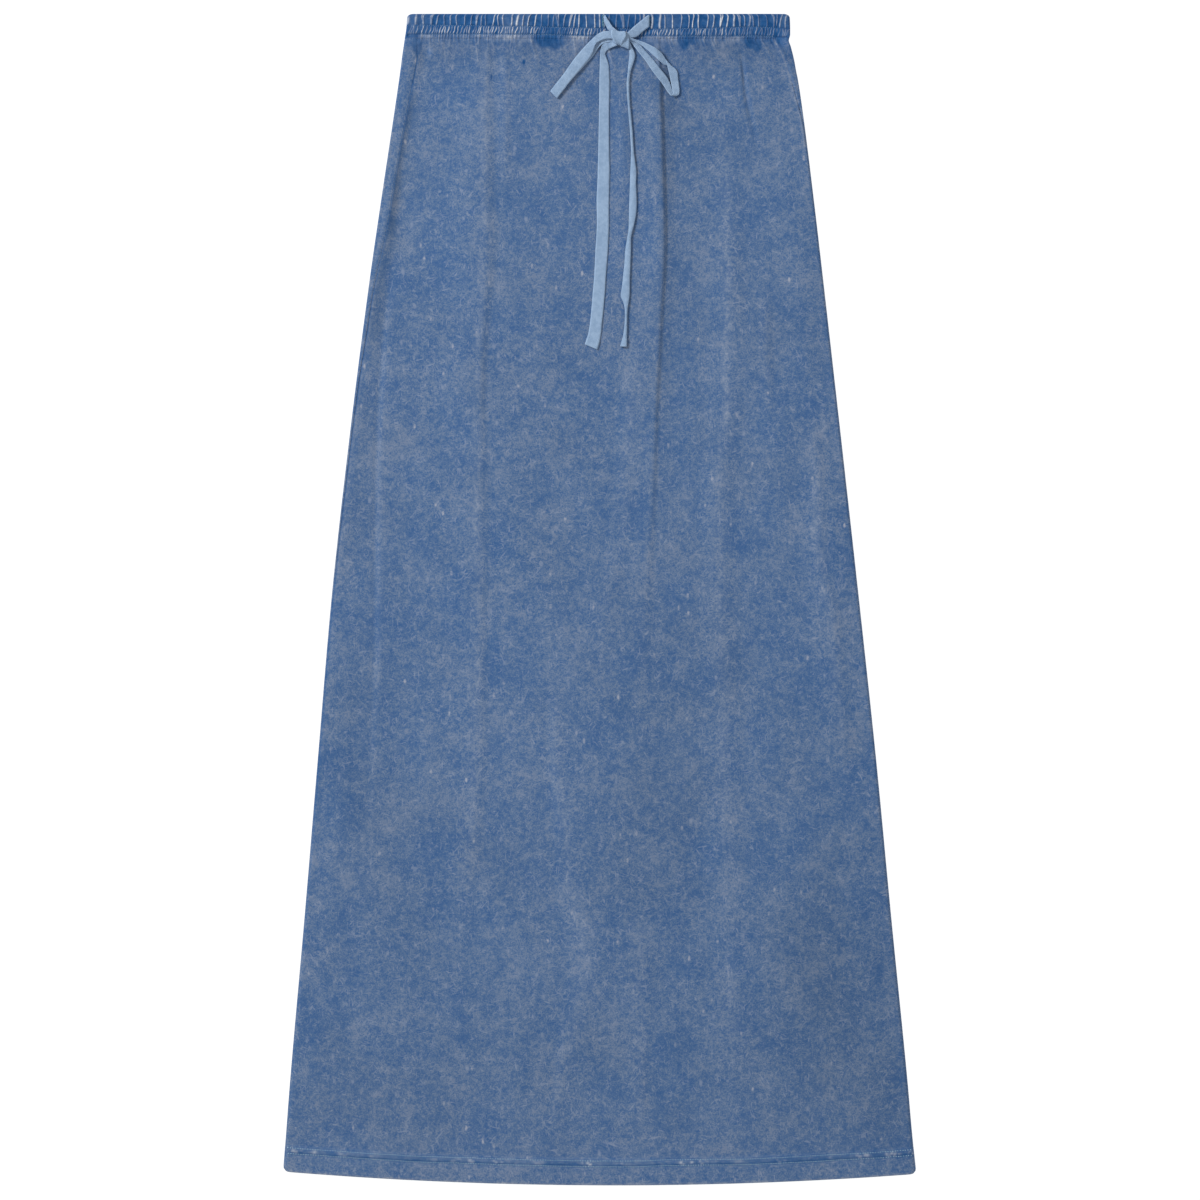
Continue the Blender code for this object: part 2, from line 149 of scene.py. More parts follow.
# Long creases of the front: each row is grid y, grid x, height in mm, and how
# wide the crease is to its left and right, in mm.
CREASES = {
    "main_fold": (
        (38, 657.5, 0.8, 20, 2.6),
        (62, 658.7, 2.6, 24, 2.8),
        (90, 659.7, 3.9, 26, 3.2),
        (150, 661.5, 4.2, 28, 3.2),
        (240, 663.5, 4.0, 28, 3.2),
        (325, 659.6, 3.2, 28, 3.4),
        (405, 655.6, 2.8, 28, 3.4),
        (450, 653.8, 2.3, 28, 4.0),
        (505, 651.4, 1.6, 28, 5.0),
        (580, 646.0, 0.9, 28, 8.0),
        (660, 642.0, 0.3, 24, 12.0),
        (740, 640.0, 0.0, 20, 14.0),
    ),
    "left_crease": (
        (38, 488.0, 0.2, 30, 8.0),
        (62, 485.0, 1.1, 38, 9.0),
        (120, 483.5, 1.5, 42, 11.0),
        (180, 483.5, 1.6, 42, 12.0),
        (240, 484.5, 1.8, 42, 14.0),
        (320, 481.5, 1.6, 42, 9.0),
        (400, 478.5, 1.4, 40, 8.0),
        (500, 476.5, 1.3, 38, 14.0),
        (600, 477.5, 1.2, 36, 12.0),
        (700, 477.0, 1.1, 32, 12.0),
        (800, 473.0, 0.9, 30, 14.0),
        (850, 469.0, 0.7, 28, 14.0),
        (900, 463.0, 0.3, 28, 12.0),
        (980, 458.0, 0.0, 26, 12.0),
    ),
    "by_left_crease": (
        (44, 503.0, 0.0, 6, 6.0),
        (70, 505.0, 0.6, 7, 6.0),
        (130, 505.0, 0.7, 8, 6.0),
        (190, 506.0, 0.0, 8, 6.0),
    ),
    "right_crease": (
        (60, 731.0, 0.0, 18, 18.0),
        (130, 725.0, 0.4, 20, 20.0),
        (180, 726.0, 0.7, 20, 20.0),
        (230, 729.0, 1.0, 22, 20.0),
        (330, 727.5, 1.3, 22, 20.0),
        (430, 725.0, 1.2, 22, 20.0),
        (480, 720.0, 1.3, 20, 18.0),
        (530, 718.0, 1.3, 20, 20.0),
        (640, 720.5, 1.2, 22, 22.0),
        (730, 724.0, 1.0, 24, 24.0),
        (860, 726.0, 0.7, 24, 24.0),
        (960, 729.0, 0.8, 24, 22.0),
        (1080, 734.0, 0.3, 24, 22.0),
        (1140, 736.0, 0.0, 24, 14.0),
    ),
    "middle_crease": (
        (320, 640.0, 0.0, 14, 12.0),
        (370, 634.0, 0.8, 14, 16.0),
        (405, 630.5, 1.0, 14, 20.0),
        (480, 627.0, 0.8, 16, 16.0),
        (540, 620.0, 0.6, 16, 16.0),
        (600, 607.0, 0.4, 18, 18.0),
        (680, 596.0, 0.0, 18, 18.0),
    ),
    "low_ridge": (
        (680, 556.0, 0.0, 8, 40.0),
        (740, 557.0, 1.0, 9, 46.0),
        (800, 560.0, 1.0, 10, 44.0),
        (860, 566.0, 0.9, 14, 40.0),
        (920, 578.0, 1.0, 18, 34.0),
        (970, 584.0, 1.0, 20, 30.0),
        (1030, 572.0, 0.7, 14, 44.0),
        (1090, 558.0, 0.7, 7, 60.0),
        (1140, 557.0, 0.0, 7, 60.0),
    ),
    "low_ridge_right": (
        (900, 634.0, 0.0, 20, 20.0),
        (970, 640.0, 0.6, 20, 20.0),
        (1090, 641.0, 0.7, 16, 8.0),
        (1140, 640.0, 0.0, 16, 10.0),
    ),
    "far_right_high": (
        (420, 812.0, 0.0, 16, 10.0),
        (490, 817.0, 0.9, 20, 10.0),
        (570, 820.0, 1.0, 22, 10.0),
        (620, 831.0, 0.8, 22, 10.0),
        (700, 838.0, 0.6, 22, 12.0),
        (820, 846.0, 0.0, 22, 12.0),
    ),
    "right_mid": (
        (280, 764.0, 0.0, 8, 8.0),
        (320, 765.0, 0.6, 9, 8.0),
        (370, 767.0, 0.5, 9, 8.0),
        (430, 769.0, 0.0, 9, 8.0),
    ),
    "side_step": (
        (250, 398.0, 0.0, 5, 26.0),
        (319, 388.5, 0.4, 4, 26.0),
        (376, 384.7, 0.5, 4, 28.0),
        (434, 382.0, 0.6, 4, 30.0),
        (491, 379.0, 0.7, 4, 30.0),
        (549, 378.5, 0.9, 4, 30.0),
        (620, 379.0, 0.9, 5, 30.0),
        (700, 377.5, 0.7, 5, 30.0),
        (790, 374.5, 0.4, 6, 30.0),
        (860, 370.0, 0.0, 6, 30.0),
    ),
    "side_roll": (
        (262, 386.0, 0.0, 3, 9.0),
        (319, 375.0, 0.2, 3, 9.0),
        (376, 366.5, 0.4, 3, 13.0),
        (434, 358.5, 0.5, 3, 17.0),
        (491, 350.5, 0.5, 3, 24.0),
        (560, 341.5, 0.5, 3, 30.0),
        (650, 331.0, 0.4, 3, 38.0),
        (780, 318.0, 0.0, 3, 44.0),
    ),
}
# Thin pressed troughs: grid y, grid x, depth, half-width.
TROUGHS = {
    "small_pleat": (
        (48, 741.0, 0.0, 1.6),
        (60, 742.0, 0.5, 1.7),
        (72, 743.6, 1.4, 1.8),
        (98, 746.8, 1.5, 1.9),
        (116, 750.5, 1.0, 2.0),
        (133, 754.5, 0.5, 2.0),
        (160, 758.5, 0.0, 1.8),
    ),
    "side_valley": (
        (270, 394.0, 0.0, 3.0),
        (319, 384.6, 0.5, 2.6),
        (376, 380.8, 0.7, 2.4),
        (434, 377.0, 0.7, 2.4),
        (549, 376.0, 0.7, 2.6),
        (650, 375.0, 0.5, 3.0),
        (800, 371.0, 0.0, 3.5),
    ),
}
# Broad lighter and darker zones, partly of the wash and partly painted shade beside the main fold and round the bow:
# grid x, grid y, half-width and half-height in grid steps, amount.
TONE_AND_SHADE_ZONES = (
    (655.0, 770.0, 48.0, 190.0, -0.07),
    (832.0, 985.0, 60.0, 120.0, -0.13),
    (890.0, 1090.0, 60.0, 90.0, -0.08),
    (765.0, 340.0, 16.0, 60.0, -0.05),
    (640.0, 1080.0, 110.0, 60.0, -0.05),
    (818.0, 530.0, 14.0, 60.0, 0.05),
    (470.0, 170.0, 24.0, 150.0, 0.02),
    (640.0, 180.0, 16.0, 150.0, -0.02),
    # painted shade under the right loop, inside its opening and beside the main fold, in these rows except the lighter
    # one at 785, 40
    (645.0, 85.0, 13.0, 24.0, -0.08),
    (678.0, 108.0, 14.0, 15.0, -0.07),
    (785.0, 40.0, 8.0, 8.0, 0.28),
    (665.5, 70.0, 4.0, 6.0, -0.30),
    (669.5, 80.0, 3.0, 7.0, -0.30),
    (654.0, 84.0, 6.0, 12.0, -0.08),
    (660.8, 96.0, 1.6, 18.0, -0.14),
    (670.0, 103.0, 12.0, 11.0, -0.05),
    (430.0, 52.0, 2.6, 4.4, 0.26),
    (520.0, 58.0, 60.0, 12.0, 0.02),
    (400.0, 240.0, 8.0, 30.0, -0.03),
    (556.0, 88.0, 12.0, 20.0, -0.03),
    (622.0, 150.0, 5.0, 30.0, 0.04),
    # painted shade on the main fold's steep side, this row and the next
    (668.0, 170.0, 8.0, 110.0, -0.08),
    (665.0, 330.0, 8.0, 90.0, -0.04),
    (455.0, 50.0, 50.0, 14.0, -0.09),
    (530.0, 50.0, 40.0, 14.0, -0.09),
    (730.0, 50.0, 56.0, 16.0, -0.12),
    (410.0, 170.0, 14.0, 90.0, -0.02),
    (380.0, 850.0, 50.0, 70.0, -0.03),
    (690.0, 830.0, 16.0, 70.0, -0.04),
    (460.0, 1090.0, 60.0, 50.0, -0.03),
    (728.0, 300.0, 14.0, 120.0, 0.03),
    (440.0, 560.0, 50.0, 140.0, 0.03),
    (540.0, 420.0, 60.0, 120.0, -0.03),
    (350.0, 700.0, 24.0, 200.0, -0.05),
    (330.0, 1030.0, 40.0, 120.0, -0.03),
    (690.0, 80.0, 24.0, 40.0, -0.04),
    (617.0, 150.0, 7.0, 50.0, 0.10),
    (616.0, 240.0, 8.0, 40.0, 0.06),
    # painted shade in a shallow valley left of the right tail
    (626.0, 130.0, 3.0, 30.0, -0.05),
    (580.0, 740.0, 30.0, 50.0, 0.03),
    (576.0, 850.0, 28.0, 60.0, 0.03),
    (584.0, 970.0, 24.0, 50.0, 0.02),
    (605.0, 1090.0, 48.0, 36.0, 0.05),
    (585.0, 505.0, 20.0, 30.0, 0.03),
    (600.0, 400.0, 30.0, 40.0, 0.03),
    (345.0, 1090.0, 60.0, 50.0, -0.05),
    (420.0, 850.0, 60.0, 60.0, -0.04),
    (356.0, 610.0, 20.0, 50.0, 0.03),
    (765.0, 405.0, 16.0, 40.0, 0.04),
    (765.0, 505.0, 16.0, 30.0, 0.03),
    (740.0, 740.0, 24.0, 50.0, 0.03),
)
# Where the cloth kept its deep dye: grid x, grid y, half-width, half-height.
DEEP = (
    (552.0, 30.0, 15.0, 16.0, 1.0),
    (548.0, 39.0, 15.5, 9.5, 1.0),
    (556.0, 43.0, 8.0, 7.5, 0.95),
    (569.0, 38.0, 3.0, 5.0, 0.6),
    (752.0, 41.0, 9.5, 8.0, 1.0),
    (757.0, 45.5, 5.0, 6.8, 0.95),
    (778.6, 40.5, 2.4, 4.5, 0.9),
    (771.5, 40.0, 3.6, 5.0, 0.8),
    (693.5, 40.0, 4.5, 5.5, 0.8),
    (697.5, 46.0, 3.0, 6.0, 0.5),
    (701.5, 53.0, 3.0, 6.0, 0.35),
    (705.5, 61.0, 3.0, 6.0, 0.2),
    (723.0, 38.0, 2.5, 4.0, 0.6),
    (711.0, 38.0, 2.5, 5.0, 0.5),
    (592.0, 46.0, 5.0, 10.0, 0.5),
    (483.0, 45.0, 4.0, 8.0, 0.45),
    (444.0, 38.0, 3.0, 5.0, 0.5),
    (458.0, 38.0, 2.5, 5.0, 0.45),
    (474.0, 39.0, 3.0, 6.0, 0.55),
    (683.5, 39.0, 5.6, 12.5, 1.0),
    (764.0, 28.0, 24.0, 15.0, 0.85),
    (783.0, 26.0, 8.0, 9.0, 0.6),
    (622.0, 22.0, 22.0, 12.0, 0.9),
    (440.0, 20.0, 20.0, 9.0, 0.75),
    (472.0, 20.0, 16.0, 9.0, 0.75),
    (640.0, 44.0, 18.0, 7.0, 0.5),
    (523.8, 62.2, 1.5, 2.6, 1.0),
    (491.5, 77.0, 0.7, 3.2, 0.9),
    (417.0, 46.0, 5.0, 9.0, 0.7),
)

# Stretches of the casing that are rubbed to grey: grid x, half-width, amount.
BAND_GREY = (
    (419.0, 11.0, 0.7),
    (515.0, 15.0, 0.8),
    (592.0, 7.0, 0.35),
    (668.0, 11.0, 0.5),
    (716.0, 8.0, 0.25),
    (787.0, 7.0, 0.6),
)
# Stretches under the casing that are rubbed pale: grid x, half-width, amount.
RUBBED = (
    (425.0, 6.0, 0.36),
    (509.0, 16.0, 0.55),
    (578.0, 14.0, 0.50),
    (671.0, 9.0, 0.40),
    (735.0, 8.0, 0.40),
    (788.0, 4.0, 0.40),
)

# --------------------------------------------- the drawstring (grid units)
# A x, A y, B x, B y, rise of A above B (mm), lift of B above the cloth (mm)
EXIT_LEFT = (
    (604.8, 15.2, 603.4, 17.6, 1.0, -1.2),
    (606.6, 18.6, 604.0, 21.4, 1.8, 0.1),
    (609.4, 23.0, 605.8, 26.4, 2.2, 0.3),
    (612.2, 27.4, 608.2, 30.6, 2.2, 0.8),
    (615.6, 30.4, 611.0, 33.6, 1.8, 1.5),
    (619.0, 33.0, 614.0, 37.0, 1.5, 1.6),
)
EXIT_RIGHT = (
    (648.7, 15.4, 649.0, 27.6, 0.4, -1.4),
    (647.3, 16.2, 648.2, 28.2, 0.7, 0.1),
    (644.6, 18.4, 645.9, 30.0, 0.9, 0.2),
    (639.6, 22.6, 641.8, 33.2, 1.1, 0.2),
    (633.4, 27.8, 636.6, 37.6, 1.2, 0.6),
    (628.6, 32.4, 631.4, 38.8, 1.2, 1.3),
    (624.4, 34.6, 625.6, 39.4, 1.0, 1.5),
)
LOOP_LEFT = (
    (616.0, 33.4, 614.0, 40.6, 0.0, 1.7),
    (611.5, 32.6, 610.4, 39.8, 0.4, 1.6),
    (606.0, 32.2, 604.4, 40.4, 0.4, 1.3),
    (600.6, 33.4, 599.6, 42.2, 0.2, 0.9),
    (594.4, 37.8, 595.4, 45.6, 0.0, 0.6),
    (584.6, 47.2, 591.4, 56.0, 0.0, 0.2),
    (573.4, 60.6, 581.2, 68.8, 0.0, 0.0),
    (563.2, 74.8, 571.0, 80.9, 0.0, 0.0),
    (551.0, 90.2, 558.0, 97.6, 0.0, 0.0),
)
LOOP_LEFT_UNDER = (
    (616.0, 36.0, 614.0, 43.0, 0.0, 0.6),
    (611.0, 36.0, 608.6, 43.0, 0.0, 0.6),
    (605.0, 37.0, 603.4, 44.4, 0.0, 0.4),
    (599.4, 40.0, 598.6, 48.0, 0.0, 0.2),
    (593.6, 44.6, 595.0, 54.0, 0.0, 0.1),
    (585.4, 51.0, 591.6, 58.4, 0.0, 0.0),
    (574.4, 61.4, 581.6, 69.0, 0.0, 0.0),
    (564.0, 75.4, 570.8, 81.1, 0.0, 0.0),
    (551.4, 90.6, 557.8, 97.4, 0.0, 0.0),
)
LAYER = 1.5
LOOP_RIGHT = (
    (622.0, 36.6, 623.5, 40.0, 1.0, 2.0),
    (627.0, 37.6, 629.5, 40.6, 1.2, 2.2),
    (633.0, 39.6, 636.0, 42.8, 1.4, 2.2),
    (639.0, 41.6, 642.5, 47.0, 1.6, 2.0),
    (645.5, 44.0, 649.0, 52.4, 1.8, 1.6),
    (652.0, 47.2, 655.2, 58.2, 1.8, 1.2),
    (658.0, 50.8, 660.6, 62.8, 1.8, 0.9),
    (662.2, 54.8, 665.0, 65.6, 1.6, 0.7),
    (665.4, 60.2, 671.2, 66.6, 1.4, 0.6),
    (668.0, 69.8, 677.0, 71.2, 1.0, 0.6),
    (670.3, 80.0, 678.3, 80.4, 1.0, 0.6),
    (672.0, 88.8, 679.5, 90.2, 0.9, 0.7),
    (672.6, 93.6, 678.8, 94.8, 1.6, 0.8),
    (670.8, 96.0, 674.6, 96.2, 3.2, 0.6),
    (668.6, 93.8, 672.8, 91.6, 2.6, 0.2),
    (661.4, 83.6, 668.4, 79.8, 1.6, 0.0),
    (651.9, 71.6, 660.0, 69.2, 1.4, 0.0),
    (644.8, 60.8, 653.2, 60.4, 1.4, 0.0),
    (637.0, 51.0, 645.5, 51.4, 1.4, 0.0),
    (632.0, 44.6, 639.6, 44.8, 1.4, 0.2),
    (628.4, 40.6, 632.6, 41.4, 1.2, 0.6),
    (623.5, 38.4, 626.0, 40.6, 1.0, 0.9),
)
TAIL_LEFT = (
    (616.0, 38.0, 617.6, 46.0, 0.0, 0.7),
    (611.4, 38.8, 613.6, 47.6, 0.2, 0.7),
    (606.4, 41.0, 609.8, 49.2, 0.6, 0.5),
    (602.6, 45.0, 606.4, 51.6, 1.0, 0.4),
    (600.8, 50.0, 605.2, 54.4, 1.2, 0.3),
    (600.2, 56.0, 606.6, 58.6, 1.0, 0.2),
    (599.7, 64.0, 608.6, 64.6, 0.7, 0.1),
    (599.4, 80.0, 609.5, 80.0, 0.5, 0.0),
    (598.9, 115.0, 609.2, 115.0, 0.2, 0.0),
    (598.2, 150.0, 609.3, 150.0, 0.0, 0.0),
    (597.6, 175.0, 609.6, 175.0, 0.0, 0.0),
    (596.6, 200.0, 609.0, 200.0, 0.0, 0.0),
    (596.8, 225.0, 609.0, 225.0, 0.0, 0.0),
    (595.4, 250.0, 608.0, 250.0, 0.0, 0.0),
    (594.1, 275.0, 606.1, 275.4, 0.0, 0.0),
    (592.1, 300.0, 604.3, 301.2, 0.0, 0.0),
    (590.0, 322.0, 601.9, 324.8, 0.0, 0.0),
    (588.1, 334.0, 600.3, 338.0, 0.0, 0.0),
    (584.9, 344.4, 597.2, 349.7, 0.0, 0.0),
)
TAIL_RIGHT = (
    (627.6, 37.4, 626.2, 40.0, 0.7, 1.3),
    (629.4, 41.4, 627.6, 43.2, 0.7, 0.9),
    (631.6, 46.6, 628.6, 48.0, 0.7, 0.5),
    (634.2, 52.0, 629.2, 52.8, 0.7, 0.2),
    (635.2, 56.6, 629.2, 57.4, 0.7, 0.0),
    (633.4, 63.6, 628.4, 64.0, 0.7, 0.0),
    (630.8, 72.0, 627.6, 72.2, 0.7, 0.0),
    (629.4, 83.0, 626.7, 83.0, 0.7, 0.0),
    (629.6, 96.0, 627.1, 96.0, 0.7, 0.0),
    (631.2, 116.0, 628.6, 116.0, 0.7, 0.0),
    (632.4, 128.0, 629.7, 128.0, 0.7, 0.0),
    (633.3, 141.0, 630.5, 141.0, 0.7, 0.0),
    (634.1, 153.0, 631.0, 153.0, 0.7, 0.0),
    (635.2, 162.0, 630.8, 162.0, 0.7, 0.0),
    (636.3, 171.0, 630.3, 171.0, 0.7, 0.0),
    (636.2, 184.0, 629.8, 184.0, 0.7, 0.0),
    (636.7, 202.0, 629.3, 202.0, 0.7, 0.0),
    (636.4, 212.0, 628.8, 212.0, 0.7, 0.0),
    (634.8, 222.0, 628.7, 222.0, 0.7, 0.0),
    (632.6, 231.0, 628.3, 231.0, 0.7, 0.0),
    (631.2, 238.0, 627.0, 238.0, 0.7, 0.0),
    (631.0, 250.0, 625.3, 250.0, 0.7, 0.0),
    (630.6, 263.0, 624.3, 263.0, 0.7, 0.0),
    (630.1, 276.0, 623.0, 276.0, 0.7, 0.0),
    (629.9, 288.0, 621.7, 288.0, 0.7, 0.0),
    (629.5, 296.0, 620.8, 296.0, 0.7, 0.0),
    (628.7, 302.5, 623.2, 302.5, 0.7, 0.0),
    (627.9, 308.0, 624.5, 308.0, 0.7, 0.0),
    (627.5, 314.0, 624.8, 314.0, 0.7, 0.0),
    (627.3, 326.0, 624.3, 326.0, 0.7, 0.0),
    (626.9, 337.5, 622.9, 337.0, 0.7, 0.0),
    (626.6, 347.0, 620.2, 346.6, 0.7, 0.0),
)
# The wrap of the knot, from its top edge over the bundle to its lower edge:
#   left x, left y, right x, right y, height above the casing (mm)
KNOT_WRAP = (
    (613.0, 35.0, 624.4, 36.4, 1.4),
    (612.4, 32.2, 624.6, 33.6, 2.8),
    (611.9, 31.2, 625.0, 32.6, 4.6),
    (611.2, 32.8, 625.8, 34.6, 6.1),
    (611.0, 36.2, 626.2, 37.2, 6.8),
    (612.4, 40.2, 624.8, 40.2, 6.8),
    (615.0, 43.4, 622.6, 43.2, 6.2),
    (617.6, 45.6, 621.4, 45.4, 4.9),
    (619.0, 46.6, 621.0, 46.2, 3.0),
    (619.0, 45.6, 620.8, 45.2, 1.4),
)
KNOT_ROOT = (
    (621.0, 35.6, 627.4, 36.2, 4.2),
    (620.6, 39.0, 628.8, 39.4, 4.8),
    (620.2, 42.6, 629.0, 43.6, 4.6),
    (620.2, 45.6, 629.2, 47.2, 3.8),
    (620.8, 47.0, 628.8, 49.6, 2.4),
    (621.6, 47.0, 628.0, 49.6, 0.8),
)
TAPE, TAPE_WALL, CLEAR = 11.0, 0.8, 0.25


# ----------------------------------------------------------------- helpers
def read(table, column, at):
    """Column of a table at distances, on a smooth curve with no overshoot."""
    at = np.asarray(at, float)
    xs = np.array([row[0] for row in table], float)
    ys = np.array([row[column] for row in table], float)
    slopes = np.diff(ys) / np.diff(xs)
    tangents = np.empty_like(ys)
    tangents[0], tangents[-1] = slopes[0], slopes[-1]
    before, after = slopes[:-1], slopes[1:]
    product = before * after
    total = np.where(before + after == 0, 1.0, before + after)
    tangents[1:-1] = np.where(product <= 0, 0.0, 2 * product / total)
    at = np.clip(at, xs[0], xs[-1])
    k = np.clip(np.searchsorted(xs, at, side="right") - 1, 0, len(xs) - 2)
    span = xs[k + 1] - xs[k]
    t = (at - xs[k]) / span
    return (
        (2 * t**3 - 3 * t**2 + 1) * ys[k]
        + (t**3 - 2 * t**2 + t) * span * tangents[k]
        + (-2 * t**3 + 3 * t**2) * ys[k + 1]
        + (t**3 - t**2) * span * tangents[k + 1]
    )


def soft(t):
    t = np.clip(t, 0.0, 1.0)
    return t * t * (3 - 2 * t)


_LATTICES = {}


def noise(x, y, size_x, size_y, seed):
    """Smooth random field from 0 to 1 with features of the given size."""
    if seed not in _LATTICES:
        _LATTICES[seed] = np.random.RandomState(seed).rand(128, 128)
    field = _LATTICES[seed]
    u, v = np.asarray(x) / size_x + 40.3, np.asarray(y) / size_y + 17.7
    i, j = np.floor(u).astype(int), np.floor(v).astype(int)
    fu, fv = soft(u - i), soft(v - j)
    i0, i1, j0, j1 = i % 128, (i + 1) % 128, j % 128, (j + 1) % 128
    low = field[i0, j0] * (1 - fu) + field[i1, j0] * fu
    high = field[i0, j1] * (1 - fu) + field[i1, j1] * fu
    return low * (1 - fv) + high * fv


def stitch_high(x):
    return read(STITCH_ROWS, 1, x)


def stitch_low(x):
    return read(STITCH_ROWS, 2, x)


def hem_share(x):
    return 1.0 - 1.39e-4 * (np.asarray(x) - 14.4) ** 2 / LENGTH


def wall_at(row):
    row = np.asarray(row, float)
    panel = CLOTH + (HEM_WALL - CLOTH) * soft((row - (LENGTH - HEM_DEPTH)) / 3.0)
    return np.where(row <= BAND_HEIGHT, BAND_WALL, panel)


def half_stack(row):
    row = np.asarray(row, float)
    own = wall_at(row) + INSIDE / 2
    rest = BAND_LIFT - CLOTH - INSIDE / 2
    panel = own + rest * (1 - soft((row - BAND_HEIGHT) / LIFT_FADE))
    return np.where(row <= BAND_HEIGHT, BAND_WALL + INSIDE / 2, panel)


def edges_at(row):
    row = np.asarray(row, float)
    left, right = read(OUTLINE, 1, row), read(OUTLINE, 2, row)
    left = read(OUTLINE, 1, row * hem_share(left))
    right = read(OUTLINE, 2, row * hem_share(right))
    d = np.clip(1 - (LENGTH - row) / HEM_CORNER, 0, 1)
    ease = HEM_CORNER * (1 - np.sqrt(1 - d * d))
    d = np.clip(1 - row / TOP_CORNER, 0, 1)
    ease = ease + TOP_CORNER * (1 - np.sqrt(1 - d * d))
    return left + ease, right - ease


def place(x, row, z):
    """Section coordinates to metres."""
    x, row, z = np.broadcast_arrays(x, row, z)
    y = LENGTH / 2 - row * hem_share(x)
    return np.stack([x, y, z], axis=-1) / 1000.0


def lin(r, g, b):
    """sRGB, 0 to 255, to a linear colour."""
    out = []
    for c in (r, g, b):
        c /= 255.0
        out.append(c / 12.92 if c <= 0.04045 else ((c + 0.055) / 1.055) ** 2.4)
    return (*out, 1.0)


class Builder:
    """Collects grids of points and the faces between them into one mesh."""

    def __init__(self, *names):
        self.points, self.quads, self.tris, self.count = [], [], [], 0
        self.names, self.values = names, {n: [] for n in names}

    def grid(self, points, **values):
        rows, cols = points.shape[:2]
        index = np.arange(rows * cols).reshape(rows, cols) + self.count
        self.points.append(points.reshape(-1, 3))
        for name in self.names:
            value = values.get(name, 0.0)
            self.values[name].append(np.broadcast_to(value, (rows, cols)).reshape(-1))
        self.count += rows * cols
        return index

    def fill(self, index, turned=False):
        a, b = index[:-1, :-1].ravel(), index[:-1, 1:].ravel()
        c, d = index[1:, 1:].ravel(), index[1:, :-1].ravel()
        self.quads.append(np.stack([a, d, c, b] if turned else [a, b, c, d], axis=1))

    def strip(self, one, other, turned=False):
        self.fill(np.stack([one, other]), turned)

    def zip(self, one, at_one, other, at_other, turned=False):
        """Triangles between two polylines with different numbers of points."""
        i = j = 0
        faces = []
        while i < len(one) - 1 or j < len(other) - 1:
            if j == len(other) - 1 or (
                i < len(one) - 1 and at_one[i + 1] <= at_other[j + 1]
            ):
                faces.append((one[i], one[i + 1], other[j]))
                i += 1
            else:
                faces.append((one[i], other[j + 1], other[j]))
                j += 1
        faces = np.array(faces)
        self.tris.append(faces[:, ::-1] if turned else faces)

    def make(self, name, material, body="root", smooth=True):
        mesh = bpy.data.meshes.new(name)
        points = np.concatenate(self.points)
        faces = [q for part in self.quads for q in part.tolist()]
        faces += [t for part in self.tris for t in part.tolist()]
        # faces point outwards where the enclosed volume is positive
        tri = np.array([f[:3] for f in faces])
        p = points[tri]
        volume = np.einsum("ij,ij->i", p[:, 0], np.cross(p[:, 1], p[:, 2]))
        quad = np.array([(f[0], f[2], f[3]) for f in faces if len(f) == 4])
        total = volume.sum()
        if len(quad):
            p = points[quad]
            total += np.einsum("ij,ij->i", p[:, 0], np.cross(p[:, 1], p[:, 2])).sum()
        if total < 0:
            faces = [f[::-1] for f in faces]
        mesh.from_pydata(points.tolist(), [], faces)
        for attribute in self.names:
            layer = mesh.attributes.new(attribute, "FLOAT", "POINT")
            layer.data.foreach_set(
                "value", np.concatenate(self.values[attribute]).astype(np.float32)
            )
        mesh.polygons.foreach_set("use_smooth", [smooth] * len(mesh.polygons))
        mesh.update()
        thing = bpy.data.objects.new(name, mesh)
        bpy.context.scene.collection.objects.link(thing)
        mesh.materials.append(material)
        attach(thing, body)
        return thing


def shell(builder, outer, inner, t_outer, t_inner):
    """Closes an outer and an inner grid (same columns) into one thin solid."""
    builder.fill(outer)
    builder.fill(inner, turned=True)
    builder.strip(outer[0], inner[0], turned=True)
    builder.strip(outer[-1], inner[-1])
    builder.zip(outer[:, 0], t_outer, inner[:, 0], t_inner)
    builder.zip(outer[:, -1], t_outer, inner[:, -1], t_inner, turned=True)


# ---------------------------------------------------------------- the cloth

def gather_set(count_pitch, width, jitter, seed):
    """Positions from 0 to 1 of the ridges along a width, unevenly spaced."""
    rng = np.random.RandomState(seed)
    steps = count_pitch * (1 + jitter * (rng.rand(int(width / count_pitch) + 8) * 2 - 1))
    at = np.cumsum(steps)
    at = at[at < width - 1.5]
    return at / width


WIDE = 322.0
CASING = gather_set(5.6, WIDE, 0.34, 5)            # ridges above the first stitch row
FINE = gather_set(2.6, WIDE, 0.42, 8)              # between the rows and below them
_r = np.random.RandomState(21)
CASING_SLANT = 0.07 + (_r.rand(len(CASING)) * 2 - 1) * 0.15
CASING_BEND = (_r.rand(len(CASING)) * 2 - 1) * 0.11
CASING_TALL = 0.7 + 0.55 * _r.rand(len(CASING))
CASING_BROAD = np.where(_r.rand(len(CASING)) < 0.10, 1.7, 1.0) * (0.8 + 0.35 * _r.rand(len(CASING)))
CASING_PALE = 0.70 + 0.55 * _r.rand(len(CASING))
CASING_FORK = np.where(_r.rand(len(CASING)) < 0.2, (_r.rand(len(CASING)) * 2 - 1) * 0.28, 0.0)
FINE_SLANT = (_r.rand(len(FINE)) * 2 - 1) * 0.22 - 0.22
FINE_TALL = 0.35 + 0.8 * _r.rand(len(FINE))
FINE_LONG = np.where(_r.rand(len(FINE)) < 0.10, 14 + 22 * _r.rand(len(FINE)), 3 + 6 * _r.rand(len(FINE)))
FINE_DRIFT = (_r.rand(len(FINE)) * 2 - 1) * 0.16


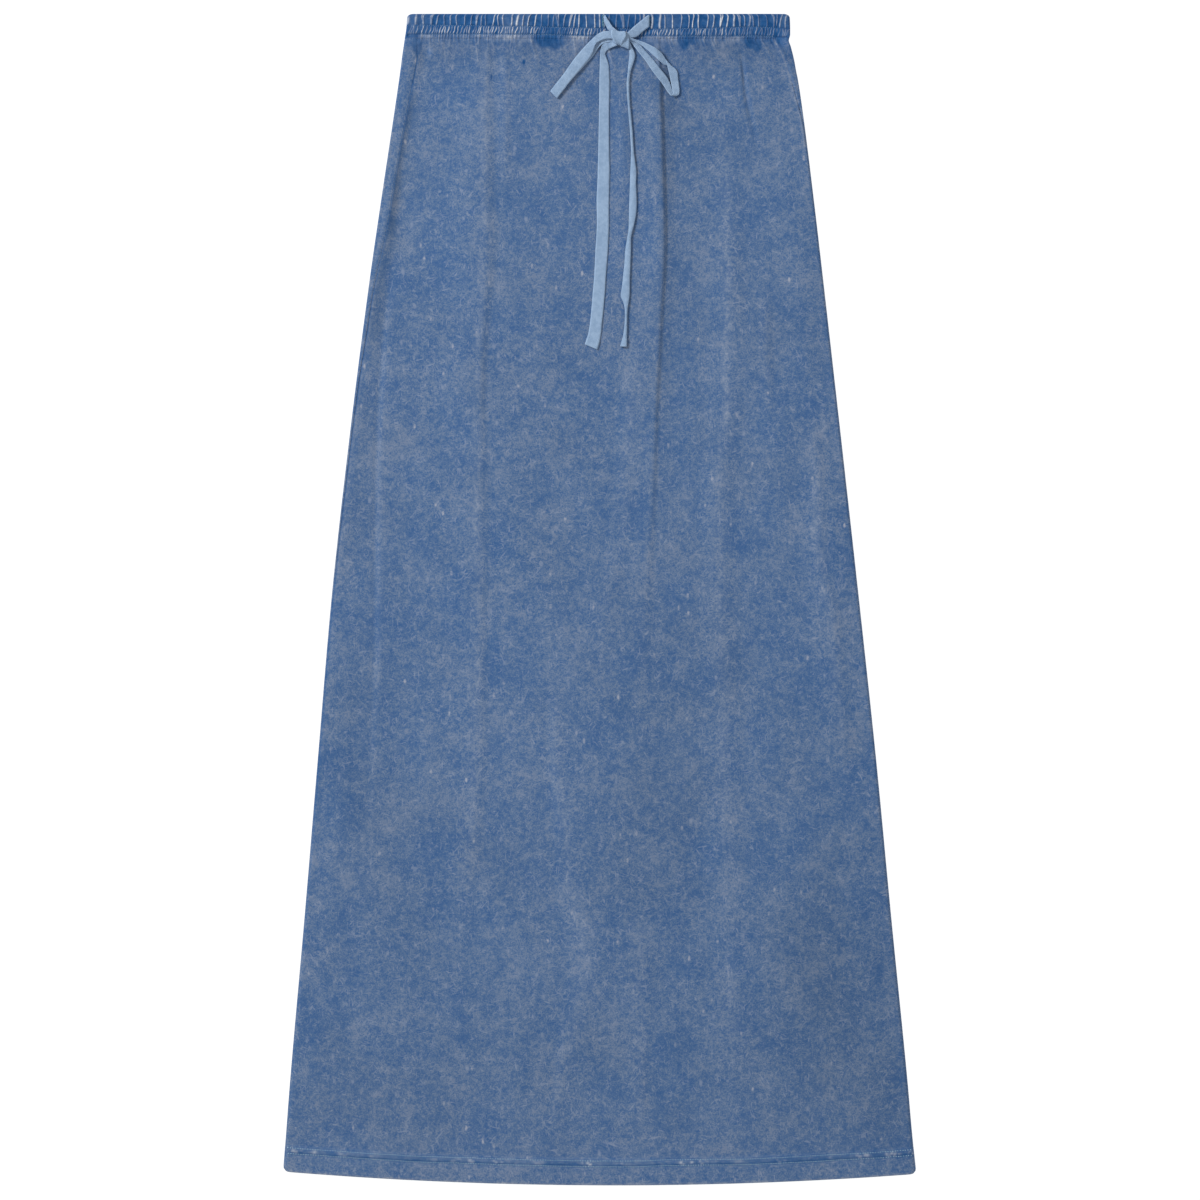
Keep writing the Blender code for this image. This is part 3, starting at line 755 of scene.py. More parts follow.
def casing_relief(u, row, width, high, low, seed_shift=0.0):
    """Height and wear of the gathered casing; u runs 0 to 1 over its width,
    high and low are the stitch rows."""
    height = np.zeros(np.broadcast(u, row).shape)
    wear = np.zeros_like(height)
    x = u * width
    up = high - row
    above = soft((up + 0.3) / 1.5) * (0.5 + 0.5 * soft((row - 0.2) / 2.6))
    for k, at in enumerate(CASING):
        lines = [CASING_SLANT[k]]
        if CASING_FORK[k]:
            lines.append(CASING_SLANT[k] + CASING_FORK[k])
        place_at = ((at + seed_shift) % 1.0) * width
        for slant in lines:
            off = x - place_at - slant * up - CASING_BEND[k] * up * (12.0 - up) * 0.16
            s = 0.55 * CASING_BROAD[k]
            shape = np.exp(-((off / s) ** 2)) + 0.30 * np.exp(-((off / (s * 3.0)) ** 2))
            height = np.maximum(height, 0.55 * CASING_TALL[k] * shape * above)
            # the pale wear sits a little left of each ridge's crest, on its lit side: real wear, placed there as a
            # painted highlight too
            wear = np.maximum(
                wear, CASING_PALE[k] * np.exp(-(((off + 0.12) / (0.40 * CASING_BROAD[k])) ** 2)) * above
            )
    between = soft((row - high + 0.2) / 1.6) * soft((low + 0.2 - row) / 1.6)
    for k, at in enumerate(FINE):
        off = x - ((at + seed_shift) % 1.0) * width - FINE_SLANT[k] * (row - 16.5)
        off = off - 0.2 * np.sin((row + 5 * k) * 1.1)
        shape = np.exp(-((off / 0.52) ** 2))
        height = np.maximum(height, 0.45 * FINE_TALL[k] * shape * between)
        # the fine strokes' pale wear also sits a little to the lit left side, partly a painted highlight
        wear = np.maximum(wear, 0.92 * FINE_TALL[k] * np.exp(-(((off + 0.08) / 0.40) ** 2)) * between)
    patchy = 0.68 + 0.62 * noise(x, row, 2.6, 3.4, 111)
    return height, np.clip(wear * patchy, 0, 1)


def panel_gathers(u, row, width, low, seed_shift=0.0):
    """Gathers of a panel under the casing, running out downwards."""
    height = np.zeros(np.broadcast(u, row).shape)
    wear = np.zeros_like(height)
    past = np.maximum(row - low, 0.0)
    start = soft((row - low + 0.3) / 0.9)
    for k, at in enumerate(FINE):
        off = (u - (at + seed_shift) % 1.0) * width - FINE_DRIFT[k] * past
        s = 0.58 + 0.055 * past + (0.35 if FINE_LONG[k] > 12 else 0.0)
        fade = np.exp(-past / FINE_LONG[k])
        height = np.maximum(height, 0.85 * FINE_TALL[k] * np.exp(-((off / s) ** 2)) * fade)
        rub = np.exp(-((off / (0.66 * s)) ** 2)) * np.exp(-past / (0.28 * FINE_LONG[k] + 1.6))
        wear = np.maximum(wear, 0.62 * FINE_TALL[k] * rub)
    x = u * width
    haze = 0.24 * np.exp(-past / 9.0) * soft((noise(x, row, 8.5, 14.0, 112) - 0.42) / 0.4)
    wear = np.maximum(wear * (0.5 + noise(x, row, 2.4, 4.0, 113)), haze)
    return height * start, np.clip(wear, 0, 1) * start


def table_down(rows):
    """A crease table with grid rows turned into distances down."""
    return [((row[0] - GRID_Y) * GRID, *row[1:]) for row in rows]


CREASE_TABLES = {name: table_down(rows) for name, rows in CREASES.items()}
TROUGH_TABLES = {name: table_down(rows) for name, rows in TROUGHS.items()}


def creases(x, row, mirror=False):
    """Height of the long creases and the pale wear on their crests."""
    if mirror:
        x = -x + 14.0
        row = np.clip(row * 0.93 + 24.0, 0, LENGTH)
    height = np.zeros(np.broadcast(x, row).shape)
    wear = np.zeros_like(height)
    for name, table in CREASE_TABLES.items():
        line = (read(table, 1, row) - GRID_X) * GRID
        wobble = 1.6 * (noise(row, row * 0, 46.0, 50.0, 70 + len(name)) - 0.5)
        off = x - line - (0.0 if name == "main_fold" else wobble)
        tall, left, right = (read(table, c, row) for c in (2, 3, 4))
        uneven = 0.78 + 0.44 * noise(row, row * 0, 34.0, 50.0, 90 + len(name))
        if name == "main_fold":
            uneven = 0.92 + 0.16 * uneven
        reach = np.where(off < 0, left, right)
        shape = soft(1 - np.abs(off) / reach)
        if name == "main_fold":
            run = 0.55 * shape + 0.45 * np.exp(-np.maximum(off, 0) / 10.0)
            shape = np.where(off < 0, shape**1.25, run)
        height += tall * uneven * shape
        crest = np.exp(-((off / 5.2) ** 2)) * np.clip(tall, 0, 1.0)
        rub = {"main_fold": 0.03, "side_step": 0.05, "side_roll": 0.04}.get(name, 0.085)
        broken = soft((noise(x, row, 3.4, 9.0, 33) - 0.35) / 0.5) * (0.3 + noise(x, row, 9.0, 42.0, 34))
        wear = np.maximum(wear, rub * crest * (0.25 + 1.3 * broken))
    for name, table in TROUGH_TABLES.items():
        off = x - (read(table, 1, row) - GRID_X) * GRID
        deep, wide = read(table, 2, row), read(table, 3, row)
        height -= deep * np.exp(-((off / wide) ** 2))
    return height, wear


def rumple(x, row, seed=0):
    """Slow unevenness of cloth that lies by itself."""
    return (
        0.55 * (noise(x, row, 62.0, 150.0, 1 + seed) - 0.5)
        + 0.30 * (noise(x, row, 24.0, 60.0, 2 + seed) - 0.5)
        + 0.12 * (noise(x, row, 9.0, 16.0, 3 + seed) - 0.5)
    )


def strip_widths(row):
    return read(LEFT_STRIP, 1, row), read(RIGHT_STRIP, 1, row)


# Per-point tone multiplied into the cloth's colour: random wash tone and zones of the wash, with painted shade and
# painted light along the seams, the edges and the main fold.
def tone_at(x, row):
    gx, gy = x / GRID + GRID_X, row / GRID + GRID_Y
    tone = 0.05 * (noise(x, row, 70, 90, 50) - 0.5) + 0.05 * (noise(x, row, 26, 34, 51) - 0.5)
    for cx, cy, rx, ry, amount in TONE_AND_SHADE_ZONES:
        tone = tone + amount * np.exp(-(((gx - cx) / rx) ** 2) - (((gy - cy) / ry) ** 2))
    # the rolled left edge a little darker, and painted shade in the hollow beside its seam
    left, right = edges_at(row)
    seam = left + strip_widths(row)[0]
    rim = np.exp(-((np.maximum(x - left, 0) / 9.0) ** 2)) * soft((row - 60) / 60.0) * soft((620 - row) / 200.0)
    where, wide, shade = (read(SEAM_HOLLOW, c, row) for c in (1, 2, 4))
    # painted shade right of the left seam: a broad one, and a narrow one in the hollow
    beside = 0.10 * np.exp(-(((x - seam) / 15.0) ** 2)) * soft((row - 55) / 40.0) * soft((330 - row) / 80.0)
    hollow = (beside + shade * np.exp(-(((x - seam - where) / wide) ** 2))) * soft((x - seam + 0.5) / 0.9)
    # a narrow shade under the right seam's edge, at its top
    off = x - (edges_at(row)[1] - strip_widths(row)[1])
    nip = 0.20 * np.exp(-(((off - 1.7) / 1.2) ** 2)) * soft((row - 20) / 4.0) * soft((50 - row) / 10.0)
    # the strip's own edge catches the light along the seam
    lip = 0.06 * np.exp(-(((seam - x - 2.2) / 2.6) ** 2)) * soft((row - 85) / 25.0) * soft((215 - row) / 40.0)
    # painted light along the right edge, lifting the shade where the cloth turns down
    turn = 0.08 * np.exp(-(((right - x) / 2.2) ** 2))
    return tone - 0.05 * rim - hollow - nip + lip * (x < seam) + turn


def deep_at(x, row):
    gx, gy = x / GRID + GRID_X, row / GRID + GRID_Y
    deep = np.zeros(np.broadcast(x, row).shape)
    for cx, cy, rx, ry, amount in DEEP:
        d = np.sqrt(((gx - cx) / rx) ** 2 + ((gy - cy) / ry) ** 2)
        edge = 0.25 * (noise(x, row, 3.0, 7.0, 60) - 0.5)
        deep = np.maximum(deep, amount * soft((1.25 + edge - d) / 0.5))
    return deep


def hem_line(index, along):
    """How far above the hem edge a stitch row runs."""
    return HEM_ROWS[index] + 0.9 * (noise(along, along * 0, 38.0, 9.0, 86) - 0.5) + 0.35 * (
        noise(along, along * 0, 7.0, 9.0, 87 + index) - 0.5
    )


def hem_relief(x, row, along):
    """Cover-stitched hem: two grooves, a low welt between them and puckers."""
    up = LENGTH - row
    high, low = hem_line(0, along), hem_line(1, along)
    middle = (high + low) / 2
    welt = np.exp(-(((up - middle) / 1.8) ** 2))
    lean = along + 0.9 * (up - middle)
    pucker = (noise(lean, up * 0, 2.8, 9.0, 81) - 0.5) + 0.7 * (noise(along, up * 0, 7.5, 9.0, 82) - 0.5)
    near = soft(1 - np.abs(up - middle) / 9.0)
    height = 0.34 * welt * (0.4 + 1.5 * pucker) + 0.34 * near * (noise(lean, up * 0, 4.2, 9.0, 83) - 0.5)
    for line in (high, low):
        height = height - 0.26 * np.exp(-(((up - line) / 0.9) ** 2))
    below = soft((15.5 - up) / 3.0)
    height = height + 0.26 * below * (noise(along, up, 13.0, 11.0, 84) - 0.35)
    wear = welt * np.clip(2.6 * (pucker - 0.22), 0, 0.9) * 0.8
    wear = np.maximum(wear, 0.28 * np.exp(-(((up - 0.9) / 0.9) ** 2)) * (0.2 + noise(along, up, 5.0, 9.0, 85)))
    deep = 0.74 * np.exp(-(((up - low - 0.7) / 1.1) ** 2)) + 0.30 * np.exp(-(((up - high) / 1.0) ** 2))
    deep = (deep + 0.40 * welt * np.clip(0.55 - 1.5 * pucker, 0, 1)) * (0.40 + 0.8 * noise(along, up, 9.0, 9.0, 88))
    gate = soft((26.5 - up) / 2.0)
    return height * gate, wear * gate, np.clip(deep, 0, 1) * gate


def edge_thin(row, wall, top=False):
    """Half the wall, rounded off at a folded edge."""
    half = wall / 2
    gap = np.asarray(row, float) if top else LENGTH - np.asarray(row, float)
    t = np.clip(1 - gap / half, 0, 1)
    return half * np.sqrt(np.maximum(0.0, 1 - t * t))


def front_top(x, row):
    """Height of the front panel's upper surface, and its wear and depth of
    dye, from a plan position."""
    x, row = np.broadcast_arrays(np.asarray(x, float), np.asarray(row, float))
    left, right = edges_at(row)
    strip_left, strip_right = strip_widths(row)
    seam_left, seam_right = left + strip_left, right - strip_right
    radius = half_stack(np.maximum(row, BAND_HEIGHT + 0.01))
    u = (x - seam_left) / (seam_right - seam_left)
    in_left, in_right = x - left, right - x
    inset = np.clip(np.minimum(in_left, in_right), 0, None)
    round_off = np.where(
        inset < radius, radius - np.sqrt(np.maximum(radius**2 - (radius - np.minimum(inset, radius)) ** 2, 0)), 0.0
    )
    window = soft((x - seam_left) / 6.0) * soft((seam_right - x) / 8.0)
    tall, wear = creases(x, row)
    fade_hem = soft((LENGTH - row) / 60.0) * 0.75 + 0.25
    low = stitch_low(x)
    gathers, gather_wear = panel_gathers(u, row, seam_right - seam_left, low)
    lift = 0.9 * soft((x - seam_left) / 26.0) * soft((seam_right - x) / 26.0) * soft((row - 26) / 26.0) * soft((LENGTH - 26 - row) / 40.0)
    height = (tall + rumple(x, row)) * window * fade_hem + lift
    height = height + gathers * soft(np.minimum(x - seam_left, seam_right - x) / 4.0)
    hem_height, hem_wear, hem_deep = hem_relief(x, row, x)
    height = height + hem_height
    where, wide, depth = (read(SEAM_HOLLOW, c, row) for c in (1, 2, 3))
    height = height - depth * np.exp(-(((x - seam_left - where) / wide) ** 2)) * soft((x - seam_left + 0.5) / 2.0)
    # seam lines: the panels dip where they are joined
    join = np.exp(-(((x - seam_left) / 1.0) ** 2)) + np.exp(-(((seam_right - x) / 1.0) ** 2))
    height = height - 0.20 * join
    kept = deep_at(x, row)
    flecks = (0.25 + 0.9 * noise(x, row, 1.6, 2.8, 115)) * np.exp(-(((row - low - 1.6) / 3.6) ** 2)) * soft((row - low) / 0.8)
    for cx, half_width, amount in RUBBED:
        near = np.exp(-(((x / GRID + GRID_X - cx) / half_width) ** 2))
        gather_wear = np.maximum(gather_wear, amount * near * flecks)
    wear = np.maximum(wear * window, gather_wear * (1 - 0.75 * kept))
    wear = np.maximum(wear, hem_wear)
    seam_wear = np.exp(-(((x - seam_left - 1.7) / 0.9) ** 2)) * soft((row - 215) / 60.0) * soft((620 - row) / 160.0)
    seam_wear = seam_wear * (0.02 + 0.15 * noise(row, row * 0, 2.2, 3.0, 44))
    wear = np.maximum(wear, seam_wear)
    seam_wear = np.exp(-(((seam_right - x - 1.2) / 1.0) ** 2)) * soft((row - 21) / 4.0) * soft((150 - row) / 60.0)
    wear = np.maximum(wear, seam_wear * (0.08 + 0.22 * noise(row, row * 0, 3.2, 3.0, 45)))
    dip = np.exp(-np.maximum(row - low, 0) / 8.0) * 0.8 * (0.2 + noise(x, row * 0, 9.0, 9.0, 114))
    deep = np.maximum(kept, dip * np.clip(1 - gathers * 1.6, 0, 1))
    deep = np.maximum(deep, hem_deep)
    line = np.exp(-(((x - seam_left - 0.2) / 0.9) ** 2)) * soft((row - 24) / 12.0) * soft((900 - row) / 300.0)
    deep = np.maximum(deep, (0.75 + 0.20 * soft((230 - row) / 40.0)) * line)
    return 2 * radius - round_off + height, wear, deep


def band_colour(x, row, high, low, wear):
    """Depth of dye in the casing: deep in the troughs, greyed in places."""
    gx = x / GRID + GRID_X
    grey = np.zeros(np.broadcast(x, row).shape)
    for cx, rx, amount in BAND_GREY:
        grey = np.maximum(grey, amount * soft((1.3 - np.abs(gx - cx) / rx) / 0.6))
    deep = (1.0 - 0.55 * grey) * (0.86 + 0.30 * noise(x, row, 2.2, 12.0, 74))
    deep = np.maximum(deep, 0.95 * np.exp(-(((row - high) / 0.8) ** 2)) * (0.5 + 0.5 * noise(x, row * 0, 1.4, 9.0, 72)))
    return np.clip(deep, 0, 1) * (1 - 0.7 * wear)


def band_top(x, row):
    """The same for the front half of the casing."""
    x, row = np.broadcast_arrays(np.asarray(x, float), np.asarray(row, float))
    left, right = edges_at(row)
    strip_left, strip_right = strip_widths(row)
    seam_left, seam_right = left + strip_left, right - strip_right
    u = (x - seam_left) / (seam_right - seam_left)
    high, low = stitch_high(x), stitch_low(x)
    relief, wear = casing_relief(u, row, WIDE, high, low)
    radius = half_stack(0.0)
    window = soft(np.minimum(x - seam_left, seam_right - x) / 2.5)
    z = 2 * radius - 0.55 + (relief + 0.5 * (noise(x, row, 17.0, 40.0, 71) - 0.5)) * window
    z = z - 0.60 * np.exp(-(((row - high) / 0.8) ** 2))
    z = z - 0.25 * soft((row - high) / 3.0)
    # past the lower row the casing is one with the panel
    panel, panel_wear, panel_deep = front_top(x, row)
    gone = soft((row - low + 0.4) / 1.3)
    z = z * (1 - gone) + (panel - 0.05) * gone
    z = z - 0.75 * np.exp(-(((row - low) / 0.75) ** 2))
    kept = deep_at(x, row)
    wear = wear * (1 - 0.76 * kept)
    deep = np.maximum(kept * (1 - 0.5 * wear), band_colour(x, row, high, low, wear))
    wear = wear * (1 - gone) + panel_wear * gone
    deep = deep * (1 - gone) + panel_deep * gone
    deep = np.maximum(deep, 0.7 * np.exp(-(((row - low) / 0.7) ** 2)) * (0.3 + 0.7 * noise(x, row * 0, 1.4, 9.0, 73)))
    return z, wear, deep


# --------------------------------------------------------------- materials
def nodes_of(name):
    material = bpy.data.materials.new(name)
    material.use_nodes = True
    tree = material.node_tree
    return material, tree, tree.nodes["Principled BSDF"]


def node(tree, kind, settings=None, **inputs):
    made = tree.nodes.new(kind)
    for key, value in (settings or {}).items():
        setattr(made, key, value)
    for key, value in inputs.items():
        socket = made.inputs[int(key[1:])] if key[0] == "i" and key[1:].isdigit() else made.inputs[key]
        if isinstance(value, bpy.types.NodeSocket):
            tree.links.new(value, socket)
        else:
            socket.default_value = value
    return made


def maths(tree, operation, a, b=0.0, clamp=False):
    return node(tree, "ShaderNodeMath", {"operation": operation, "use_clamp": clamp}, i0=a, i1=b).outputs[0]


def remap(tree, value, low, high, to_low=0.0, to_high=1.0):
    made = node(tree, "ShaderNodeMapRange", {"interpolation_type": "SMOOTHSTEP"}, i0=value, i1=low, i2=high, i3=to_low, i4=to_high)
    return made.outputs[0]


def blend(tree, factor, a, b, kind="MIX"):
    made = tree.nodes.new("ShaderNodeMix")
    made.data_type, made.blend_type = "RGBA", kind
    made.clamp_factor = True
    for index, value in ((0, factor), (6, a), (7, b)):
        if isinstance(value, bpy.types.NodeSocket):
            tree.links.new(value, made.inputs[index])
        else:
            made.inputs[index].default_value = value
    return made.outputs[2]


def shifted(tree, vector, move, stretch=(1, 1, 1), turn=0.0):
    made = node(tree, "ShaderNodeMapping", None, Vector=vector)
    made.inputs["Location"].default_value = move
    made.inputs["Rotation"].default_value = (0, 0, turn)
    made.inputs["Scale"].default_value = stretch
    return made.outputs[0]


def fuzz(tree, vector, scale, detail=2.0, rough=0.5, warp=0.0):
    return node(
        tree, "ShaderNodeTexNoise", None, Vector=vector, Scale=scale, Detail=detail, Roughness=rough, Distortion=warp
    ).outputs[0]


def attribute(tree, name):
    return node(tree, "ShaderNodeAttribute", {"attribute_name": name}).outputs["Fac"]


def strokes(tree, vector, scale, move, stretch, turn, width, keep):
    """Short pale curved strokes: the contour of a stretched noise, broken up
    by a second one."""
    moved = shifted(tree, vector, move, stretch, turn)
    field = fuzz(tree, moved, scale, 1.0, 0.5, 0.9)
    line = maths(tree, "ABSOLUTE", maths(tree, "SUBTRACT", field, 0.5))
    line = remap(tree, line, width, width * 0.2)
    broken = fuzz(tree, shifted(tree, vector, (move[1], move[0], 0.3)), 130.0, 1.0, 0.5)
    return maths(tree, "MULTIPLY", line, remap(tree, broken, keep, keep + 0.07))


def hair(tree, vector, turn, move, scale=760.0, long=8.0):
    """Straight fine fibres that lie along one direction."""
    made = node(tree, "ShaderNodeMapping", {"vector_type": "TEXTURE"}, Vector=vector)
    made.inputs["Location"].default_value = move
    made.inputs["Rotation"].default_value = (0, 0, turn)
    made.inputs["Scale"].default_value = (1.0, long, 1.0)
    return remap(tree, fuzz(tree, made.outputs[0], scale, 1.0, 0.5, 0.35), 0.60, 0.74)


def denim(name, darker=0.985):
    material, tree, shader = nodes_of(name)
    where = node(tree, "ShaderNodeTexCoord").outputs["Object"]
    wear, deep, tone = (attribute(tree, n) for n in ("wear", "deep", "tone"))
    # wash: blue and grey-lavender in soft blobs of several sizes
    grain = fuzz(tree, shifted(tree, where, (9.1, 4.7, 0)), 1000.0, 1.0, 0.5)
    fine = fuzz(tree, where, 430.0, 2.0, 0.6, 0.15)
    grainy = fuzz(tree, shifted(tree, where, (3.1, 1.7, 0)), 190.0, 2.0, 0.6, 0.3)
    blotch = fuzz(tree, shifted(tree, where, (5.3, 2.9, 0)), 66.0, 2.0, 0.55, 0.6)
    cloud = fuzz(tree, shifted(tree, where, (1.9, 8.1, 0)), 19.0, 2.0, 0.5, 0.3)
    mixed = maths(tree, "MULTIPLY", grain, 0.27)
    mixed = maths(tree, "ADD", mixed, maths(tree, "MULTIPLY", fine, 0.23))
    mixed = maths(tree, "ADD", mixed, maths(tree, "MULTIPLY", grainy, 0.18))
    mixed = maths(tree, "ADD", mixed, maths(tree, "MULTIPLY", blotch, 0.17))
    mixed = maths(tree, "ADD", mixed, maths(tree, "MULTIPLY", cloud, 0.15))
    ramp = node(tree, "ShaderNodeValToRGB", None, Fac=remap(tree, mixed, 0.39, 0.615))
    stops = ramp.color_ramp.elements
    stops[0].position, stops[0].color = 0.0, lin(60, 95, 143)
    stops[1].position, stops[1].color = 1.0, lin(116, 131, 158)
    for at, colour in ((0.28, (73, 104, 147)), (0.52, (86, 112, 149)), (0.76, (99, 121, 153))):
        stop = stops.new(at)
        stop.color = lin(*colour)
    colour = ramp.outputs[0]
    # lint-like strokes and flecks
    kinds = (
        (60.0, (0.4, 0.9, 0), (1.0, 0.40, 1.0), 0.5, 0.010, 0.575),
        (74.0, (2.4, 3.9, 0), (0.8, 0.6, 1.0), -0.7, 0.011, 0.575),
    )
    lines = None
    for kind in kinds:
        made = strokes(tree, where, *kind)
        lines = made if lines is None else maths(tree, "MAXIMUM", lines, made)
    hairs = None
    for turn, move in ((0.5, (0.3, 0.1, 0)), (-0.7, (0.9, 2.2, 0)), (1.25, (1.7, 0.6, 0)), (-1.35, (2.8, 1.4, 0)), (0.05, (3.6, 2.9, 0))):
        made = hair(tree, where, turn, move)
        hairs = made if hairs is None else maths(tree, "MAXIMUM", hairs, made)
    tuft = fuzz(tree, shifted(tree, where, (7.7, 4.1, 0)), 150.0, 2.0, 0.6)
    hairs = maths(tree, "MULTIPLY", hairs, remap(tree, tuft, 0.47, 0.62, 0.15, 1.0))
    cells = node(tree, "ShaderNodeTexVoronoi", {"feature": "F1"}, Vector=shifted(tree, where, (0, 0, 0), (1, 0.55, 1), 0.35), Scale=95.0)
    chosen = node(tree, "ShaderNodeSeparateColor", None, i0=cells.outputs["Color"])
    ragged = maths(tree, "ADD", cells.outputs["Distance"], maths(tree, "MULTIPLY", fine, 0.35))
    speck = remap(tree, ragged, 0.40, 0.22)
    speck = maths(tree, "MULTIPLY", speck, remap(tree, chosen.outputs[0], 0.76, 0.99))
    pale = maths(tree, "MAXIMUM", maths(tree, "MULTIPLY", lines, 0.42), maths(tree, "MULTIPLY", speck, 0.60))
    pale = maths(tree, "MAXIMUM", pale, maths(tree, "MULTIPLY", hairs, 0.55))
    pale = maths(tree, "MULTIPLY", pale, maths(tree, "SUBTRACT", 1.0, maths(tree, "MULTIPLY", deep, 0.9)))
    colour = blend(tree, pale, colour, lin(143, 154, 176))
    # brighter flecks where the lint is thick
    flecks = node(tree, "ShaderNodeTexVoronoi", {"feature": "F1"}, Vector=shifted(tree, where, (2.2, 5.1, 0), (1, 0.5, 1), -0.55), Scale=150.0)
    picked = node(tree, "ShaderNodeSeparateColor", None, i0=flecks.outputs["Color"])
    small = remap(tree, maths(tree, "ADD", flecks.outputs["Distance"], maths(tree, "MULTIPLY", fine, 0.35)), 0.42, 0.24)
    small = maths(tree, "MULTIPLY", small, remap(tree, picked.outputs[1], 0.84, 0.98))
    small = maths(tree, "MULTIPLY", small, remap(tree, tuft, 0.42, 0.58, 0.25, 0.75))
    small = maths(tree, "MULTIPLY", small, maths(tree, "SUBTRACT", 1.0, maths(tree, "MULTIPLY", deep, 0.9)))
    colour = blend(tree, small, colour, lin(172, 175, 186))
    # deep dye and worn ridges
    uneven = maths(tree, "MULTIPLY", deep, remap(tree, fine, 0.3, 0.6, 0.8, 1.0), True)
    deepest = blend(tree, remap(tree, grainy, 0.35, 0.65), lin(18, 72, 126), lin(38, 88, 142))
    colour = blend(tree, uneven, colour, deepest)
    rubbed = maths(tree, "MULTIPLY", wear, remap(tree, fine, 0.3, 0.62, 0.72, 1.1), True)
    worn = blend(tree, remap(tree, grainy, 0.4, 0.6), lin(176, 183, 196), lin(216, 218, 220))
    colour = blend(tree, rubbed, colour, worn)
    # the tone attribute scales the colour: wash tone with painted shade and painted light
    lit = maths(tree, "ADD", tone, darker)
    grey = node(tree, "ShaderNodeCombineColor", None, i0=lit, i1=lit, i2=lit).outputs[0]
    colour = blend(tree, 1.0, colour, grey, "MULTIPLY")
    tree.links.new(colour, shader.inputs["Base Color"])
    shader.inputs["Roughness"].default_value = 0.95
    shader.inputs["Specular IOR Level"].default_value = 0.12
    shader.inputs["Sheen Weight"].default_value = 0.02
    shader.inputs["Sheen Roughness"].default_value = 0.6
    # knap of the cloth
    knap = fuzz(tree, where, 1500.0, 2.0, 0.6)
    rise = maths(tree, "ADD", maths(tree, "MULTIPLY", knap, 0.5), maths(tree, "MULTIPLY", fine, 0.5))
    bump = node(tree, "ShaderNodeBump", None, Strength=0.35, Distance=0.0004, Height=rise)
    tree.links.new(bump.outputs[0], shader.inputs["Normal"])
    return material


def tape_cloth(name):
    material, tree, shader = nodes_of(name)
    along, across, shade = (attribute(tree, n) for n in ("along", "across", "shade"))
    where = node(tree, "ShaderNodeTexCoord").outputs["Object"]
    # herringbone: the twill line turns back at the middle of the tape
    lean = maths(tree, "ABSOLUTE", maths(tree, "SUBTRACT", across, 5.5))
    line = maths(tree, "ADD", maths(tree, "MULTIPLY", along, 1.0), maths(tree, "MULTIPLY", lean, 1.0))
    twill = maths(tree, "SINE", maths(tree, "MULTIPLY", line, 6.6))
    weft = maths(tree, "SINE", maths(tree, "MULTIPLY", across, 14.0))
    slub = fuzz(tree, where, 260.0, 2.0, 0.6)
    cloud = fuzz(tree, where, 45.0, 2.0, 0.5)
    mixed = maths(tree, "ADD", maths(tree, "MULTIPLY", slub, 0.6), maths(tree, "MULTIPLY", cloud, 0.4))
    colour = blend(tree, remap(tree, mixed, 0.36, 0.64), lin(138, 164, 195), lin(154, 179, 208))
    colour = blend(tree, remap(tree, twill, 0.0, 1.0, 0.0, 0.12), colour, lin(112, 140, 176))
    # painted highlight along the selvedges, carried by the shade attribute
    colour = blend(tree, shade, colour, lin(168, 191, 216))
    tree.links.new(colour, shader.inputs["Base Color"])
    shader.inputs["Roughness"].default_value = 0.86
    shader.inputs["Specular IOR Level"].default_value = 0.15
    shader.inputs["Sheen Weight"].default_value = 0.03
    shader.inputs["Sheen Roughness"].default_value = 0.5
    rise = maths(tree, "ADD", maths(tree, "MULTIPLY", twill, 0.6), maths(tree, "MULTIPLY", weft, 0.25))
    rise = maths(tree, "ADD", rise, maths(tree, "MULTIPLY", slub, 0.6))
    bump = node(tree, "ShaderNodeBump", None, Strength=0.4, Distance=0.0003, Height=rise)
    tree.links.new(bump.outputs[0], shader.inputs["Normal"])
    return material


def thread(name, light, dark):
    material, tree, shader = nodes_of(name)
    where = node(tree, "ShaderNodeTexCoord").outputs["Object"]
    mixed = fuzz(tree, where, 700.0, 2.0, 0.6)
    colour = blend(tree, remap(tree, mixed, 0.4, 0.6), lin(*dark), lin(*light))
    tree.links.new(colour, shader.inputs["Base Color"])
    shader.inputs["Roughness"].default_value = 0.7
    ply = fuzz(tree, where, 3500.0, 1.0, 0.5)
    bump = node(tree, "ShaderNodeBump", None, Strength=0.3, Distance=0.0001, Height=ply)
    tree.links.new(bump.outputs[0], shader.inputs["Normal"])
    return material


DENIM = denim("washed_denim")
DENIM_BACK = denim("washed_denim_back", 0.975)
TAPE_CLOTH = tape_cloth("cotton_tape")
THREAD_PALE = thread("thread_pale", (186, 214, 226), (142, 182, 206))
THREAD_BAND = thread("thread_waistband", (146, 176, 198), (98, 134, 168))
THREAD_HOLE = thread("thread_buttonhole", (112, 156, 176), (70, 112, 140))


# -------------------------------------------------------------- front panel
def rows_of(start, end, first, last, count=None, power=1.0):
    """Row positions from start to end whose spacing grows from first to last."""
    mean = (first + last) / 2
    steps = count or max(2, int(round((end - start) / mean)))
    t = np.linspace(0, 1, steps + 1)
    bend = (last - first) / (last + first)
    return start + (end - start) * (t + bend * (t * t - t))


def round_rows(wall, steps=5):
    """Rows over a folded hem edge, closer towards the edge."""
    angle = np.linspace(0, math.pi / 2, steps + 1)[1:]
    return LENGTH - (wall / 2) * (1 - np.sin(angle))


def seam_line(row):
    left, right = edges_at(row)
    strip_left, strip_right = strip_widths(row)
    return left + strip_left, right - strip_right


